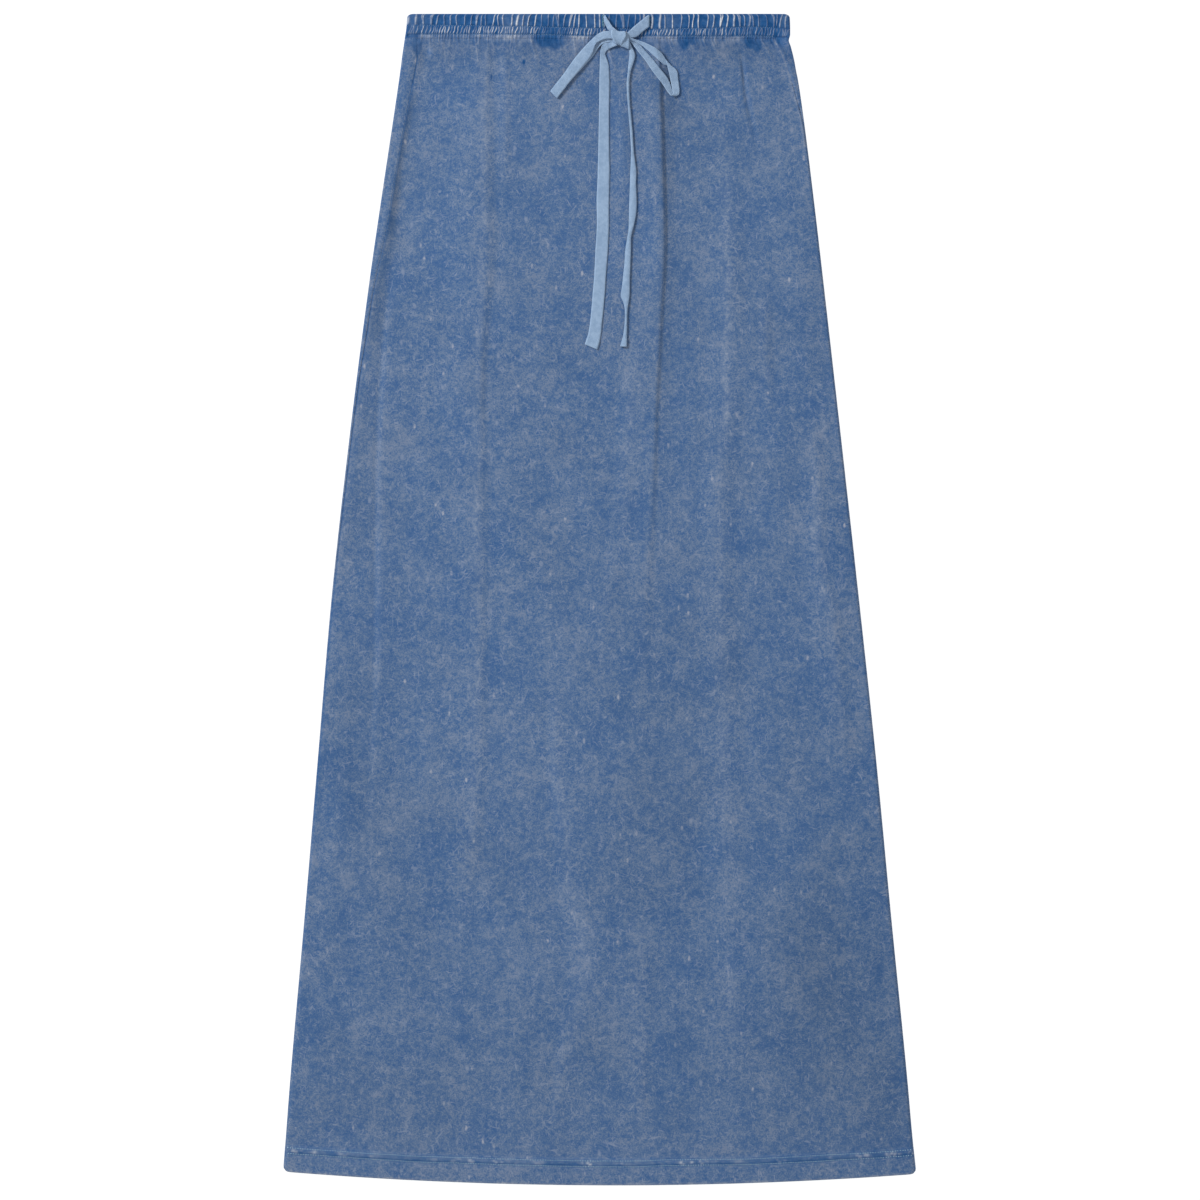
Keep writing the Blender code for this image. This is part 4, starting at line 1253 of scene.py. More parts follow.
def front_grid(rows, cols, tuck=0.6):
    row = rows[:, None]
    start, end = seam_line(row)
    # the panel runs a little way under the strips that come round from behind
    slip_left = tuck * soft((read(LEFT_STRIP, 2, row) - 0.2) / 0.4)
    slip_right = tuck * soft((read(RIGHT_STRIP, 2, row) - 0.2) / 0.4)
    u = np.linspace(0, 1, cols)[None, :]
    x = (start - slip_left) + (end + slip_right - start + slip_left) * u
    return x, np.broadcast_to(row, x.shape)


def front_shell():
    build = Builder("wear", "deep", "tone")
    upper = rows_of(BAND_HEIGHT - 0.6, 62.0, 0.9, 1.7)
    lower_a = rows_of(64.0, 1026.0, 2.6, 5.4)
    hem = np.concatenate([
        rows_of(1027.5, LENGTH - 15.0, 0.85, 0.85),
        rows_of(LENGTH - 14.0, LENGTH - HEM_WALL / 2 - 0.9, 2.0, 1.4),
        round_rows(HEM_WALL, 4),
    ])
    lower = np.concatenate([lower_a, hem])
    cols_upper, cols_lower = 720, 236

    def points(rows, cols):
        x, row = front_grid(rows, cols)
        top, wear, deep = front_top(x, row)
        wall = wall_at(row)
        thin = edge_thin(row, wall)
        middle = top - wall / 2
        under_band = 0.5 * soft((BAND_HEIGHT + 1.2 - row) / 1.8)
        middle = middle - under_band
        return x, row, middle, thin, wear, deep, tone_at(x, row)

    x, row, middle, thin, wear, deep, tone = points(upper, cols_upper)
    a = build.grid(place(x, row, middle + thin), wear=wear, deep=deep, tone=tone)
    build.fill(a)
    x, row, middle, thin, wear, deep, tone = points(lower, cols_lower)
    b = build.grid(place(x, row, middle + thin), wear=wear, deep=deep, tone=tone)
    build.fill(b)
    build.zip(a[-1], np.linspace(0, 1, cols_upper), b[0], np.linspace(0, 1, cols_lower))
    # inner side, coarser
    inner_rows = np.concatenate([
        rows_of(BAND_HEIGHT - 0.6, 60.0, 8.0, 12.0), rows_of(90.0, 1020.0, 30.0, 60.0),
        np.array([1029.0, 1034.0, 1046.0]), round_rows(HEM_WALL, 3),
    ])
    x, row, middle, thin, wear, deep, tone = points(inner_rows, cols_lower)
    c = build.grid(place(x, row, middle - np.maximum(thin, 0.0)), wear=wear * 0, deep=deep * 0, tone=tone)
    build.fill(c, turned=True)
    build.strip(b[-1], c[-1])
    build.zip(a[0], np.linspace(0, 1, cols_upper), c[0], np.linspace(0, 1, cols_lower), turned=True)
    for side, turned in ((0, False), (-1, True)):
        build.zip(
            np.concatenate([a[:, side], b[:, side]]), np.concatenate([upper, lower]),
            c[:, side], inner_rows, turned=turned,
        )
    return build.make("front_panel_cloth", DENIM)


# --------------------------------------------------------------- back panel
def back_section(row, band=False, counts=(14, 9, 150, 9, 12)):
    """Middle line and outward normal of the back on rows, from the left seam
    over the left edge, underneath and over the right edge to the right seam."""
    row = row[:, None]
    left, right = edges_at(row)
    strip_left, strip_right = strip_widths(row)
    radius = half_stack(0.0 if band else row)
    radius = np.broadcast_to(radius, row.shape)
    wall = np.full_like(radius, BAND_WALL) if band else wall_at(row)
    mid = radius - wall / 2
    n_left, n_arc_l, n_under, n_arc_r, n_right = counts
    flat_left, flat_right = left + radius, right - radius
    # strips: from the seam to the top of the arc; narrow ones start on the arc
    def strip(seam, flat, side, proud, count):
        t = np.linspace(0, 1, count + 1)[None, :] ** 1.7
        wide = np.where(side * (seam - flat) > 0, np.abs(seam - flat), 0.0)
        x = flat + side * wide * (1 - t)
        crown = proud * (0.2 + 0.8 * soft(t / 0.45)) * soft((1 - t) / 0.5) * soft((wide - 0.4) / 2.0)
        return x, 2 * radius - wall / 2 + crown

    seam_left, seam_right = left + strip_left, right - strip_right
    lx, lz = strip(seam_left, flat_left, 1, read(LEFT_STRIP, 2, row), n_left)
    rx, rz = strip(seam_right, flat_right, -1, read(RIGHT_STRIP, 2, row), n_right)
    # where the seam lies on the arc, the arc starts there
    start_left = np.where(
        strip_left < radius,
        math.pi - np.arccos(np.clip((radius - strip_left) / radius, -1, 1)),
        math.pi / 2,
    )
    start_right = np.where(
        strip_right < radius,
        np.arccos(np.clip((radius - strip_right) / radius, -1, 1)),
        math.pi / 2,
    )
    # left arc runs from start_left to 270 degrees
    al = start_left + (1.5 * math.pi - start_left) * np.linspace(0, 1, n_arc_l + 2)[None, 1:-1]
    ar = -math.pi / 2 + (start_right + math.pi / 2) * np.linspace(0, 1, n_arc_r + 2)[None, 1:-1]
    # strip points collapse on to the arc's start when the strip is narrow
    narrow_l, narrow_r = strip_left < radius, strip_right < radius
    t = np.linspace(0, 1, n_left + 1)[None, :]
    squeeze = 0.10
    a0 = start_left + squeeze * t
    lx = np.where(narrow_l, flat_left + mid * np.cos(a0), lx)
    lz = np.where(narrow_l, radius + mid * np.sin(a0), lz)
    lnx = np.where(narrow_l, np.cos(a0), 0.0)
    lnz = np.where(narrow_l, np.sin(a0), 1.0)
    al = np.where(
        narrow_l,
        start_left + squeeze + (1.5 * math.pi - start_left - squeeze) * np.linspace(0, 1, n_arc_l + 2)[None, 1:-1],
        al,
    )
    t = np.linspace(1, 0, n_right + 1)[None, :]
    rx, rz = rx[:, ::-1], rz[:, ::-1]
    a1 = start_right - squeeze * t
    rx = np.where(narrow_r, flat_right + mid * np.cos(a1), rx)
    rz = np.where(narrow_r, radius + mid * np.sin(a1), rz)
    rnx = np.where(narrow_r, np.cos(a1), 0.0)
    rnz = np.where(narrow_r, np.sin(a1), 1.0)
    ar = np.where(
        narrow_r,
        -math.pi / 2 + (start_right - squeeze + math.pi / 2) * np.linspace(0, 1, n_arc_r + 2)[None, 1:-1],
        ar,
    )
    under = np.linspace(0, 1, n_under + 1)[None, :]
    ux = flat_left + (flat_right - flat_left) * under
    uz = wall / 2 + 0 * ux
    full = np.zeros((row.shape[0], 1))
    x = np.concatenate([lx, flat_left + mid * np.cos(al), ux, flat_right + mid * np.cos(ar), rx], axis=1)
    z = np.concatenate([lz, radius + mid * np.sin(al), uz, radius + mid * np.sin(ar), rz], axis=1)
    nx = np.concatenate([lnx + full, np.cos(al), 0 * ux, np.cos(ar), rnx + full], axis=1)
    nz = np.concatenate([lnz + full, np.sin(al), 0 * ux - 1, np.sin(ar), rnz + full], axis=1)
    below = np.concatenate([0 * lx, 0 * al, 1 + 0 * ux, 0 * ar, 0 * rx], axis=1)
    return x, z, nx, nz, below, seam_left, seam_right, flat_left, flat_right


def back_shell():
    build = Builder("wear", "deep", "tone")
    outer_rows = np.concatenate([
        rows_of(BAND_HEIGHT - 0.6, 62.0, 1.2, 2.0), rows_of(64.0, 1026.0, 3.4, 6.4),
        rows_of(1027.5, LENGTH - 15.0, 1.1, 1.1), rows_of(LENGTH - 13.5, LENGTH - 3.0, 3.0, 2.0),
        round_rows(HEM_WALL, 4),
    ])
    inner_rows = np.concatenate([
        rows_of(BAND_HEIGHT - 0.6, 60.0, 8.0, 12.0), rows_of(90.0, 1020.0, 30.0, 60.0),
        np.array([1029.0, 1034.0, 1046.0]), round_rows(HEM_WALL, 3),
    ])
    counts = (14, 9, 250, 9, 12)

    def points(rows):
        x, z, nx, nz, below, s_left, s_right, f_left, f_right = back_section(rows, counts=counts)
        row = rows[:, None]
        wall = wall_at(row)
        # the side that rests is flat, its creases are troughs into the skirt
        u = (x - f_left) / (f_right - f_left)
        low = stitch_low(-x)
        gather, gather_wear = panel_gathers(1 - u, row, f_right - f_left, low, 0.37)
        tall, wear = creases(x, row, mirror=True)
        window = soft(np.minimum(x - f_left, f_right - x) / 16.0) * below
        trough = np.clip(0.30 - 0.20 * tall - 0.6 * rumple(x, row, 20), 0, 0.75)
        hem, hem_wear, hem_deep = hem_relief(x, row, x + 400.0)
        near_hem = soft((LENGTH - 30.0 - row) / 30.0)
        inward = trough * window * near_hem
        inward = inward + below * soft(np.minimum(x - f_left, f_right - x) / 3.0) * 0.75 * np.clip(0.9 - gather, 0, 1) * np.exp(-np.maximum(row - low, 0) / 22.0)
        inward = inward + np.clip(0.25 - hem, 0, 1) * soft((26 - (LENGTH - row)) / 3.0) * below * soft(np.minimum(x - f_left, f_right - x) / 6.0)
        z = z + inward
        wear = np.maximum(wear * window, np.maximum(gather_wear * below, hem_wear))
        join = np.exp(-(((x - s_left) / 1.2) ** 2)) * (nz > 0.2) + np.exp(-(((s_right - x) / 1.2) ** 2)) * (nz > 0.2)
        wear = np.maximum(wear, 0.25 * join * soft((row - 200) / 60.0) * soft((640 - row) / 120.0) * (0.1 + 0.6 * noise(row, row * 0, 2.6, 3.0, 44)))
        proud = np.where(x < 0, read(LEFT_STRIP, 2, row), read(RIGHT_STRIP, 2, row))
        z = z - 0.28 * join * (nz > 0.2) * (1 - soft(proud / 0.6))
        near = np.minimum(np.abs(x - s_left), np.abs(s_right - x)) / 0.8
        edge = np.where(nz > 0.2, np.sqrt(1 - np.clip(1 - near, 0, 0.97) ** 2), 1.0)
        past = np.exp(-np.maximum(row - low, 0) / 7.0)
        deep = np.maximum(0.5 * past * np.clip(1 - gather * 1.6, 0, 1), hem_deep)
        deep = np.maximum(deep, deep_at(x, row) * (nz > 0.2))
        hide = 1.2 * soft((BAND_HEIGHT + 1.2 - row) / 1.8)
        z = z - hide * nz
        tone = tone_at(x + 230.0 * below, row)
        return x, row, z, nx, nz, wall, edge, wear, deep, tone

    x, row, z, nx, nz, wall, edge, wear, deep, tone = points(outer_rows)
    thin = edge_thin(row, wall) * edge
    lift = np.clip(-(z + thin * nz), 0, None)
    a = build.grid(place(x + thin * nx, row, z + thin * nz + lift), wear=wear, deep=deep, tone=tone)
    x, row, z, nx, nz, wall, edge, wear, deep, tone = points(inner_rows)
    thin = edge_thin(row, wall) * edge
    c = build.grid(place(x - thin * nx, row, z - thin * nz), wear=wear * 0, deep=deep * 0, tone=tone)
    shell(build, a, c, outer_rows, inner_rows)
    return build.make("back_panel_cloth", DENIM_BACK)


# ---------------------------------------------------------------- waistband
def band_shell_front():
    build = Builder("wear", "deep", "tone")
    rows = np.concatenate([
        np.array([0.0, 0.12, 0.4, 0.8, 1.25]), rows_of(1.7, 10.4, 0.8, 0.8), rows_of(10.8, 12.8, 0.4, 0.4),
        rows_of(13.3, 20.0, 0.6, 0.6), rows_of(20.4, BAND_HEIGHT, 0.32, 0.32),
    ])
    cols = 1000
    x, row = front_grid(rows, cols, tuck=0.0)
    top, wear, deep = band_top(x, row)
    wall = np.full_like(top, BAND_WALL)
    half = edge_thin(row, wall, top=True)
    base = 2 * half_stack(0.0) - BAND_WALL
    middle = base + BAND_WALL / 2
    outer = middle + (top - middle) * (half / (BAND_WALL / 2))
    a = build.grid(place(x, row, outer), wear=wear, deep=deep, tone=tone_at(x, row))
    inner_rows = np.array([0.0, 0.4, 1.5, 11.0, BAND_HEIGHT])
    x, row = front_grid(inner_rows, cols, tuck=0.0)
    half = edge_thin(row, np.full(x.shape, BAND_WALL), top=True)
    c = build.grid(place(x, row, middle - half + 0 * x), deep=0.3, tone=tone_at(x, row))
    shell(build, a, c, rows, inner_rows)
    return build.make("waistband_front_cloth", DENIM)


def band_shell_back():
    build = Builder("wear", "deep", "tone")
    rows = np.concatenate([
        np.array([0.0, 0.12, 0.4, 0.8, 1.25]), rows_of(1.8, 10.4, 1.0, 1.0), rows_of(10.8, 12.8, 0.5, 0.5),
        rows_of(13.4, 20.0, 0.8, 0.8), rows_of(20.5, BAND_HEIGHT, 0.4, 0.4),
    ])
    inner_rows = np.array([0.0, 0.4, 1.5, 11.0, BAND_HEIGHT])
    counts = (24, 10, 640, 10, 26)

    def points(rows):
        x, z, nx, nz, below, s_left, s_right, f_left, f_right = back_section(rows, band=True, counts=counts)
        row = rows[:, None]
        u = (x - f_left) / (f_right - f_left)
        across = np.where(below > 0, -x, x)
        high, low = stitch_high(across), stitch_low(across)
        relief, wear = casing_relief(1 - u, row, 337.0, high, low, 0.43)
        rise, wear_strip = casing_relief((x + 400.0) / 300.0 % 1.0, row, 300.0, high, low, 0.11)
        groove = 0.55 * np.exp(-(((row - high) / 0.8) ** 2)) + 1.0 * np.exp(-(((row - low - 0.2) / 1.1) ** 2))
        inset = soft(np.minimum(x - f_left, f_right - x) / 2.5)
        z = z + below * inset * (np.clip(1.25 - relief, 0, 1.25) * 0.8 + groove)
        z = z + (nz > 0.95) * (rise * 0.8 - 0.55 - groove)
        z = z - 0.3 * nz * soft((row - high) / 3.0) * (1 - below)
        z = z - 0.9 * (nz > 0.2) * nz * soft((row - low) / 1.3)
        wear = np.where(below > 0, wear, wear_strip * (nz > 0.2) * 0.55)
        deep = band_colour(across, row, high, low, wear)
        deep = np.maximum(deep, 0.7 * np.exp(-(((row - low) / 0.8) ** 2)))
        return x, row, z, nx, nz, wear, deep, tone_at(x + 230.0 * below, row)

    x, row, z, nx, nz, wear, deep, tone = points(rows)
    half = edge_thin(row, np.full(x.shape, BAND_WALL), top=True)
    lift = np.clip(-(z + half * nz), 0, None)
    a = build.grid(place(x + half * nx, row, z + half * nz + lift), wear=wear, deep=deep, tone=tone)
    x, row, z, nx, nz, wear, deep, tone = points(inner_rows)
    half = edge_thin(row, np.full(x.shape, BAND_WALL), top=True)
    half = np.minimum(half, 1.35)
    c = build.grid(place(x - half * nx, row, z - half * nz), deep=0.3, tone=tone)
    shell(build, a, c, rows, inner_rows)
    return build.make("waistband_back_cloth", DENIM_BACK)


front_cloth = front_shell()
back_cloth = back_shell()
band_front = band_shell_front()
band_back = band_shell_back()
for piece, cad_node in (
    (front_cloth, "front_panel"), (back_cloth, "back_panel"),
    (band_front, "waistband_front"), (band_back, "waistband_back"),
):
    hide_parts(cad_node)


# --------------------------------------------------------------- drawstring
def along_table(table, steps):
    """Stations on a smooth curve through a table's rows."""
    rows = np.array(table, float)
    out = []
    last = len(rows) - 1
    for k in range(last):
        p0, p1 = rows[max(0, k - 1)], rows[k]
        p2, p3 = rows[k + 1], rows[min(last, k + 2)]
        for s in range(steps + (k == last - 1)):
            t = s / steps
            out.append(
                0.5 * (2 * p1 + (p2 - p0) * t + (2 * p0 - 5 * p1 + 4 * p2 - p3) * t**2
                       + (3 * p1 - p0 - 3 * p2 + p3) * t**3)
            )
    return np.array(out)


def cloth_top(x, down):
    """Upper surface of the skirt at plan positions, distances down."""
    row = down / hem_share(x)
    front = front_top(x, np.maximum(row, BAND_HEIGHT))[0]
    band = band_top(x, np.minimum(row, BAND_HEIGHT))[0]
    return np.where(row < BAND_HEIGHT, np.maximum(band, 7.0), front)


def laid(stations, extra=0.0, slope=0.30):
    """Edges A and B of a tape, in mm: x, down, z of the tape's middle."""
    xa, da = on_grid(stations[:, 0], stations[:, 1])
    xb, db = on_grid(stations[:, 2], stations[:, 3])
    rise, lift = stations[:, 4], stations[:, 5]
    most = np.zeros(len(stations))
    for t in np.linspace(0, 1, 9):
        top = cloth_top(xb + (xa - xb) * t, db + (da - db) * t)
        most = np.maximum(most, top - rise * t)
    need = most + CLEAR + TAPE_WALL / 2 + lift + extra
    mx, md = (xa + xb) / 2, (da + db) / 2
    run = np.concatenate([[0], np.cumsum(np.hypot(np.diff(mx), np.diff(md)))])
    base = (need[None, :] - slope * np.abs(run[:, None] - run[None, :])).max(axis=1)
    smooth = base.copy()
    for _ in range(6):
        smooth[1:-1] = 0.25 * smooth[:-2] + 0.5 * smooth[1:-1] + 0.25 * smooth[2:]
        smooth = np.maximum(smooth, need)
    a = np.stack([xa, da, smooth + rise], axis=1)
    b = np.stack([xb, db, smooth], axis=1)
    return a, b


def flat_place(p):
    """x, down, z in mm to metres."""
    return np.stack([p[..., 0], LENGTH / 2 - p[..., 1], p[..., 2]], axis=-1) / 1000.0


def tape(name, a, b, curl=0.0, start=0.0, wall=TAPE_WALL, ends=(True, True), seed=0, arch=0.0, rim=0.35, cap=0.0):
    """A woven tape between its two edges: rounded selvedges, a slight curl
    across and ripples along."""
    n = 12
    ring_across, ring_side = [], []
    for k in range(n + 1):
        ring_across.append(k / n)
        ring_side.append(1.0)
    for k in range(n, -1, -1):
        ring_across.append(k / n)
        ring_side.append(-1.0)
    across = np.array(ring_across)
    side = np.array(ring_side)
    # selvedges: thin rounded rims, a little thicker than the web
    inner = np.minimum(across, 1 - across) * TAPE
    half = wall / 2 * np.sqrt(np.clip(1 - (1 - np.clip(inner / 0.9, 0, 1)) ** 2, 0.04, 1))
    half = half * (1 + 0.22 * np.exp(-(((inner - 0.9) / 0.5) ** 2)))
    middle = (a + b) / 2
    run = np.concatenate([[0], np.cumsum(np.linalg.norm(np.diff(middle, axis=0), axis=1))])
    tangent = np.gradient(middle, axis=0)
    tangent /= np.linalg.norm(tangent, axis=1)[:, None]
    width = a - b
    span = np.linalg.norm(width, axis=1)
    normal = np.cross(tangent, width / span[:, None])
    normal /= np.linalg.norm(normal, axis=1)[:, None]
    # keep the normal on one side all along
    for k in range(1, len(normal)):
        if np.dot(normal[k], normal[k - 1]) < 0:
            normal[k] *= -1
    if arch:
        # folded lengthwise where it looks narrow: the arch takes up the width
        normal = np.where(normal[:, 2:] < 0, -normal, normal)
    spare = arch * np.sqrt(np.maximum(0.0, (TAPE - 1.0) ** 2 - span**2) * 3 / 16)
    rows = []
    ripple = 0.16 * (noise(run, run * 0 + seed, 7.0, 5.0, 120) - 0.5)
    uneven = 0.40 * (noise(run, run * 0 + 9.0 + seed, 9.0, 5.0, 121) - 0.5)
    hem = cap * soft((run - run[-1] + 8.0) / 0.8) if cap else np.zeros(len(run))
    for k in range(len(a)):
        stretch = (uneven[k] + 0.45 * hem[k]) * (a[k] - b[k]) / span[k]
        base = b[k][None, :] + (a[k] - b[k])[None, :] * across[:, None]
        base = base + stretch[None, :] * (2 * across - 1)[:, None] * 0.5
        wave = ripple[k] * np.sin(across * math.pi * 2 + run[k] * 0.11 + seed)
        bow = (curl + spare[k]) * (1 - (2 * across - 1) ** 2) + wave + 0.35 * hem[k]
        edge_wave = 0.10 * np.sin(run[k] * 0.9 + seed) * (np.abs(2 * across - 1) ** 4)
        rows.append(base + normal[k][None, :] * (bow + edge_wave + side * half * (1 + 0.8 * hem[k]))[:, None])
    grid = np.array(rows)
    if ends[0]:
        grid = np.concatenate([(grid[:1] + grid[:1, ::-1]) / 2, grid])
    if ends[1]:
        grid = np.concatenate([grid, (grid[-1:] + grid[-1:, ::-1]) / 2])
    run_all = run
    if ends[0]:
        run_all = np.concatenate([[run[0]], run_all])
    if ends[1]:
        run_all = np.concatenate([run_all, [run[-1]]])
    # the ring is closed round the tape
    closed = np.concatenate([grid, grid[:, :1]], axis=1)
    build = Builder("along", "across", "shade")
    cols = closed.shape[1]
    # shade: a lighter colour painted along both selvedges, a painted highlight on the rounded edges
    index = build.grid(
        flat_place(grid),
        along=(run_all + start)[:, None],
        across=(across * TAPE)[None, :],
        shade=(rim * np.exp(-((inner / 0.55) ** 2)))[None, :],
    )
    wrapped = np.concatenate([index, index[:, :1]], axis=1)
    build.fill(wrapped)
    # ends
    for at, turned in ((0, True), (-1, False)):
        ring = index[at]
        pairs = len(ring) // 2
        one = ring[:pairs]
        other = ring[pairs:][::-1]
        build.strip(one, other, turned=turned)
    piece = build.make(name, TAPE_CLOTH)
    return piece, middle, run[-1]


tail_left_a, tail_left_b = laid(along_table(TAIL_LEFT, 10))
tail_left, tail_left_mid, _ = tape("drawstring_tail_left_tape", tail_left_a, tail_left_b, curl=0.15, seed=1, cap=1.0)
tail_right_a, tail_right_b = laid(along_table(TAIL_RIGHT, 6))
tail_right, tail_right_mid, _ = tape(
    "drawstring_tail_right_tape", tail_right_a, tail_right_b, curl=0.1, seed=2, arch=0.2, cap=0.8, wall=1.0,
)
under_a, under_b = laid(along_table(LOOP_LEFT_UNDER, 8))
loop_under, under_mid, _ = tape("bow_loop_left_under_tape", under_a, under_b, seed=3)
upper_a, upper_b = laid(along_table(LOOP_LEFT, 8), extra=LAYER)
# the fold at the tip: the upper layer turns down on to the lower one
way = (upper_a[-1] + upper_b[-1] - upper_a[-3] - upper_b[-3]) * np.array([1, 1, 0])
way /= np.linalg.norm(way)
gap = (upper_a[-1, 2] - under_a[-1, 2]) / 2
fold_a, fold_b = [], []
for k in range(1, 9):
    angle = math.pi * k / 8
    shift = way * gap * 1.15 * math.sin(angle) - np.array([0, 0, gap * (1 - math.cos(angle))])
    fold_a.append(upper_a[-1] + shift)
    fold_b.append(upper_b[-1] + shift)
upper_a = np.concatenate([upper_a, fold_a])
upper_b = np.concatenate([upper_b, fold_b])
loop_upper, upper_mid, _ = tape("bow_loop_left_tape", upper_a, upper_b, curl=0.2, seed=4)
ring_a, ring_b = laid(along_table(LOOP_RIGHT, 7))
loop_right, ring_mid, _ = tape("bow_loop_right_tape", ring_a, ring_b, curl=0.0, seed=5)
exit_left_a, exit_left_b = laid(along_table(EXIT_LEFT, 6))
exit_left, exit_left_mid, _ = tape("drawstring_exit_left_tape", exit_left_a, exit_left_b, curl=0.6, seed=6)
exit_right_a, exit_right_b = laid(along_table(EXIT_RIGHT, 6))
exit_right, exit_right_mid, _ = tape("drawstring_exit_right_tape", exit_right_a, exit_right_b, curl=0.3, seed=7)


def knot_band(name, table, seed, curl):
    rows = along_table(table, 5)
    xl, dl = on_grid(rows[:, 0], rows[:, 1])
    xr, dr = on_grid(rows[:, 2], rows[:, 3])
    base = 7.4
    a = np.stack([xl, dl, base + rows[:, 4]], axis=1)
    b = np.stack([xr, dr, base + rows[:, 4] - 0.6], axis=1)
    return tape(name, a, b, curl=curl, seed=seed, wall=0.9)


wrap, _, _ = knot_band("bow_knot_wrap", KNOT_WRAP, 8, -0.8)
root_piece, _, _ = knot_band("bow_knot_under", KNOT_ROOT, 9, -0.4)


def knot_core():
    """The bundle inside the wrap."""
    build = Builder("along", "across", "shade")
    cx, cd = on_grid(618.4, 39.0)
    rings, sides = 14, 24
    grid = []
    for i in range(rings + 1):
        t = math.pi * i / rings
        row = []
        for k in range(sides):
            s = 2 * math.pi * k / sides
            lump = 1 + 0.06 * math.sin(3 * s + 1.0) * math.sin(t)
            row.append((
                cx + 5.6 * math.sin(t) * math.cos(s) * lump,
                cd + 5.8 * math.sin(t) * math.sin(s) * lump,
                7.4 + 3.2 - 2.9 * math.cos(t),
            ))
        grid.append(row)
    grid = np.array(grid)
    along = np.linspace(0, 20, rings + 1)[:, None]
    across = np.linspace(0, 11, sides)[None, :]
    index = build.grid(flat_place(grid), along=along, across=across)
    build.fill(np.concatenate([index, index[:, :1]], axis=1))
    piece = build.make("bow_knot_core", TAPE_CLOTH)
    return piece


core = knot_core()

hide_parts("drawstring_tail_left")
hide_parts("drawstring_tail_right")
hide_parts("bow_loop_left")
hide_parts("bow_loop_right")
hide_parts("drawstring_exit_left")
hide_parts("drawstring_exit_right")
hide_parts("bow_knot")


# ------------------------------------------------------------------ stitches
def stitches(name, points, directions, ups, long, thick, material):
    """Little oval stitches along given points."""
    build = Builder("shade")
    sides, rings = 6, 4
    profile = [(-0.5, 0.05), (-0.36, 0.75), (0.0, 1.0), (0.36, 0.75), (0.5, 0.05)]
    directions = directions / np.linalg.norm(directions, axis=1)[:, None]
    sideways = np.cross(ups, directions)
    sideways /= np.linalg.norm(sideways, axis=1)[:, None]
    ups = np.cross(directions, sideways)
    count = len(points)
    grid = np.zeros((count, len(profile), sides, 3))
    for i, (t, r) in enumerate(profile):
        sag = 0.35 * thick * (1 - 4 * t * t)
        for k in range(sides):
            angle = 2 * math.pi * k / sides
            grid[:, i, k] = (
                points + directions * (t * long) + ups * (sag + r * thick / 2 * math.sin(angle))
                + sideways * (r * thick / 2 * math.cos(angle))
            )
    flat = grid.reshape(count * len(profile), sides, 3)
    index = build.grid(flat, shade=0.0).reshape(count, len(profile), sides)
    ring = np.concatenate([index, index[:, :, :1]], axis=2)
    a, b = ring[:, :-1, :-1].ravel(), ring[:, :-1, 1:].ravel()
    c, d = ring[:, 1:, 1:].ravel(), ring[:, 1:, :-1].ravel()
    build.quads.append(np.stack([a, d, c, b], axis=1))
    first, last = index[:, 0], index[:, -1]
    for k in range(1, sides - 1):
        build.tris.append(np.stack([first[:, 0], first[:, k], first[:, k + 1]], axis=1))
        build.tris.append(np.stack([last[:, 0], last[:, k + 1], last[:, k]], axis=1))
    piece = build.make(name, material)
    return piece


def stitch_row(row_at, pitch, long, above, surface, side=1, inset=2.0, phase=0.0, zigzag=0.0):
    """Points, directions and up vectors of stitches on a row given by x."""
    row = np.array([float(np.mean(row_at(np.zeros(1))))])
    start, end = (float(v[0]) for v in seam_line(row))
    if side < 0:
        left, right = (float(v[0]) for v in edges_at(row))
        start, end = left + 3.2, right - 3.2
    xs = np.arange(start + inset + phase, end - inset, pitch)
    wander = np.random.RandomState(int(phase * 100) + 3).rand(2, len(xs)) - 0.5
    xs = xs + wander[0] * 0.35
    half = long * 0.5
    turn = zigzag * np.where(np.arange(len(xs)) % 2, 1.0, -1.0)

    def at(x, shift):
        r = row_at(x) + shift
        if side > 0:
            z = surface(x, r)[0] + above
        else:
            z = np.full(x.shape, above)
        return place(x, r, z)

    lean = wander[1] * 0.35
    points = at(xs, 0.0)
    directions = at(xs + half, lean + turn) - at(xs - half, -lean - turn)
    ups = np.tile(np.array([0.0, 0.0, float(side)]), (len(xs), 1))
    return points, directions, ups


def joined(parts):
    return [np.concatenate([p[k] for p in parts]) for k in range(3)]


def hem_row(index, shift=0.0):
    return lambda x: LENGTH - hem_line(index, x + shift)


hem_parts = [stitch_row(hem_row(k), 2.25, 1.1, 0.16, front_top, phase=0.9 * k) for k in (0, 1)]
hem_stitches_front = stitches("hem_stitches_front", *joined(hem_parts), 0.00104, 0.00076, THREAD_PALE)
hem_parts = [stitch_row(hem_row(k, 400.0), 2.25, 1.1, 0.58, None, side=-1, phase=0.7 * k) for k in (0, 1)]
hem_stitches_back = stitches("hem_stitches_back", *joined(hem_parts), 0.00112, 0.00062, THREAD_PALE)
band_parts = [
    stitch_row(stitch_high, 2.0, 1.2, 0.02, band_top, phase=0.0, zigzag=0.15),
    stitch_row(stitch_low, 1.75, 1.3, 0.12, band_top, phase=0.5, zigzag=0.35),
]
band_stitches_front = stitches("waistband_stitches_front", *joined(band_parts), 0.0012, 0.00038, THREAD_BAND)
band_parts = [
    stitch_row(lambda x: stitch_high(-x), 2.0, 1.2, 0.6, None, side=-1, phase=0.0, zigzag=0.15),
    stitch_row(lambda x: stitch_low(-x), 1.75, 1.3, 0.7, None, side=-1, phase=0.5, zigzag=0.35),
]
band_stitches_back = stitches("waistband_stitches_back", *joined(band_parts), 0.0012, 0.00038, THREAD_BAND)


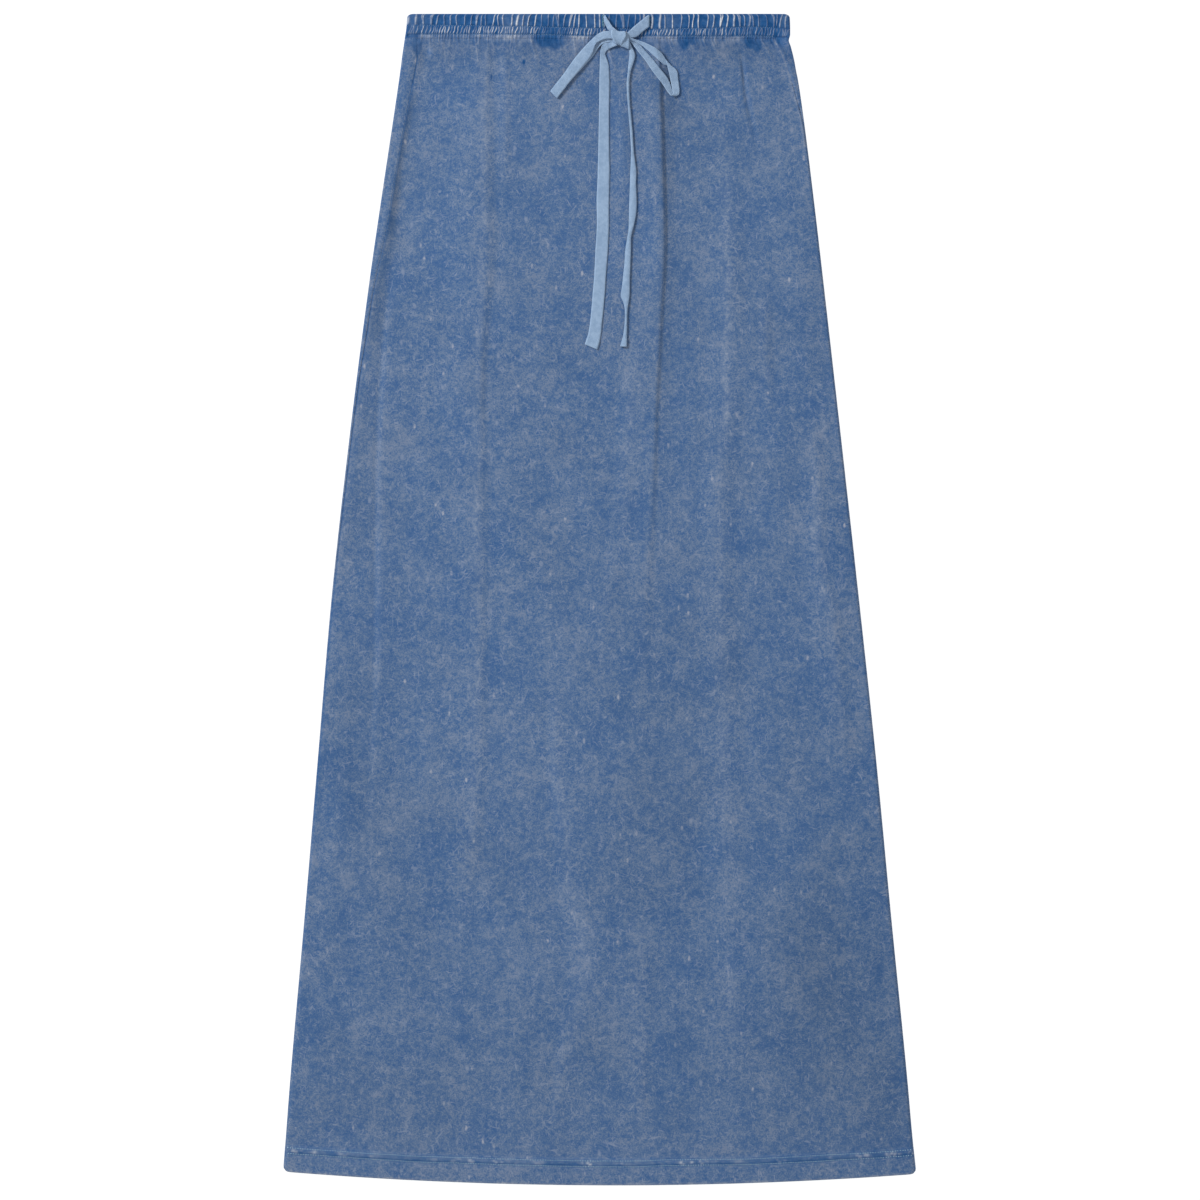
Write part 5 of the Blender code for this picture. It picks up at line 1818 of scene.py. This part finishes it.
# --------------------------------------------------------------- buttonholes
def buttonhole(name, gx, y_top, y_bottom):
    """Two thick worked lips round a slit, where the tape comes out."""
    parts = []
    for side in (-1, 1):
        ys = np.arange(y_top, y_bottom, 0.42)
        x, down = on_grid(np.full(ys.shape, gx) + side * 0.6, ys)
        row = down
        z = band_top(x, row)[0] + 0.12
        points = place(x, row, z)
        directions = np.tile(np.array([1.0, 0.12 * side, 0.0]), (len(ys), 1))
        ups = np.tile(np.array([0.0, 0.0, 1.0]), (len(ys), 1))
        parts.append((points, directions, ups))
    return stitches(name, *joined(parts), 0.0009, 0.00042, THREAD_HOLE)


hole_left = buttonhole("buttonhole_left", 603.2, 15.6, 27.0)
hole_right = buttonhole("buttonhole_right", 649.2, 15.8, 27.4)


# --------------------------------------------------------- floor, light, view
def floor():
    mesh = bpy.data.meshes.new("floor")
    size = 6.0
    mesh.from_pydata([(-size, -size, -0.0004), (size, -size, -0.0004), (size, size, -0.0004), (-size, size, -0.0004)], [], [(0, 1, 2, 3)])
    thing = bpy.data.objects.new("floor", mesh)
    bpy.context.scene.collection.objects.link(thing)
    material, tree, shader = nodes_of("floor_paper")
    where = node(tree, "ShaderNodeTexCoord").outputs["Object"]
    colour = blend(tree, fuzz(tree, where, 3.0, 2.0), lin(108, 108, 108), lin(110, 110, 110))
    tree.links.new(colour, shader.inputs["Base Color"])
    shader.inputs["Roughness"].default_value = 0.9
    shader.inputs["Specular IOR Level"].default_value = 0.1
    shader.inputs["Emission Color"].default_value = (1.0, 1.0, 1.0, 1.0)
    shader.inputs["Emission Strength"].default_value = 0.95
    mesh.materials.append(material)
    return thing


floor()


def area_light(name, location, target, size, power):
    light = bpy.data.lights.new(name, "AREA")
    light.shape, light.size = "DISK", size
    light.energy = power
    thing = bpy.data.objects.new(name, light)
    bpy.context.scene.collection.objects.link(thing)
    thing.location = location
    from mathutils import Vector

    way = Vector(target) - Vector(location)
    thing.rotation_euler = way.to_track_quat("-Z", "Y").to_euler()
    return thing


area_light("key", (-2.6, 1.7, 2.3), (0, 0, 0), 1.0, 114.0)
area_light("fill", (2.4, -1.6, 3.0), (0, 0, 0), 2.6, 28.5)

world = bpy.data.worlds.new("studio")
bpy.context.scene.world = world
world.use_nodes = True
world.node_tree.nodes["Background"].inputs["Color"].default_value = (1.0, 1.0, 1.0, 1.0)
world.node_tree.nodes["Background"].inputs["Strength"].default_value = 0.42

view = bpy.context.scene.view_settings
view.view_transform = "Standard"
view.look = "None"

camera_data = bpy.data.cameras.new("camera")
camera_data.lens = 110.0
camera_data.sensor_width = 36.0
camera_data.clip_end = 50.0
camera = bpy.data.objects.new("camera", camera_data)
bpy.context.scene.collection.objects.link(camera)
FRAME_WIDTH = 1200 * GRID / 1000
middle_x, middle_down = on_grid(600.0, 600.0)
camera.location = (
    float(middle_x) / 1000,
    (LENGTH / 2 - float(middle_down)) / 1000,
    0.004 + FRAME_WIDTH * camera_data.lens / camera_data.sensor_width,
)
camera.rotation_euler = (0, 0, 0)
bpy.context.scene.camera = camera

# ------------------------------------------------------------------- update
bpy.context.view_layer.update()
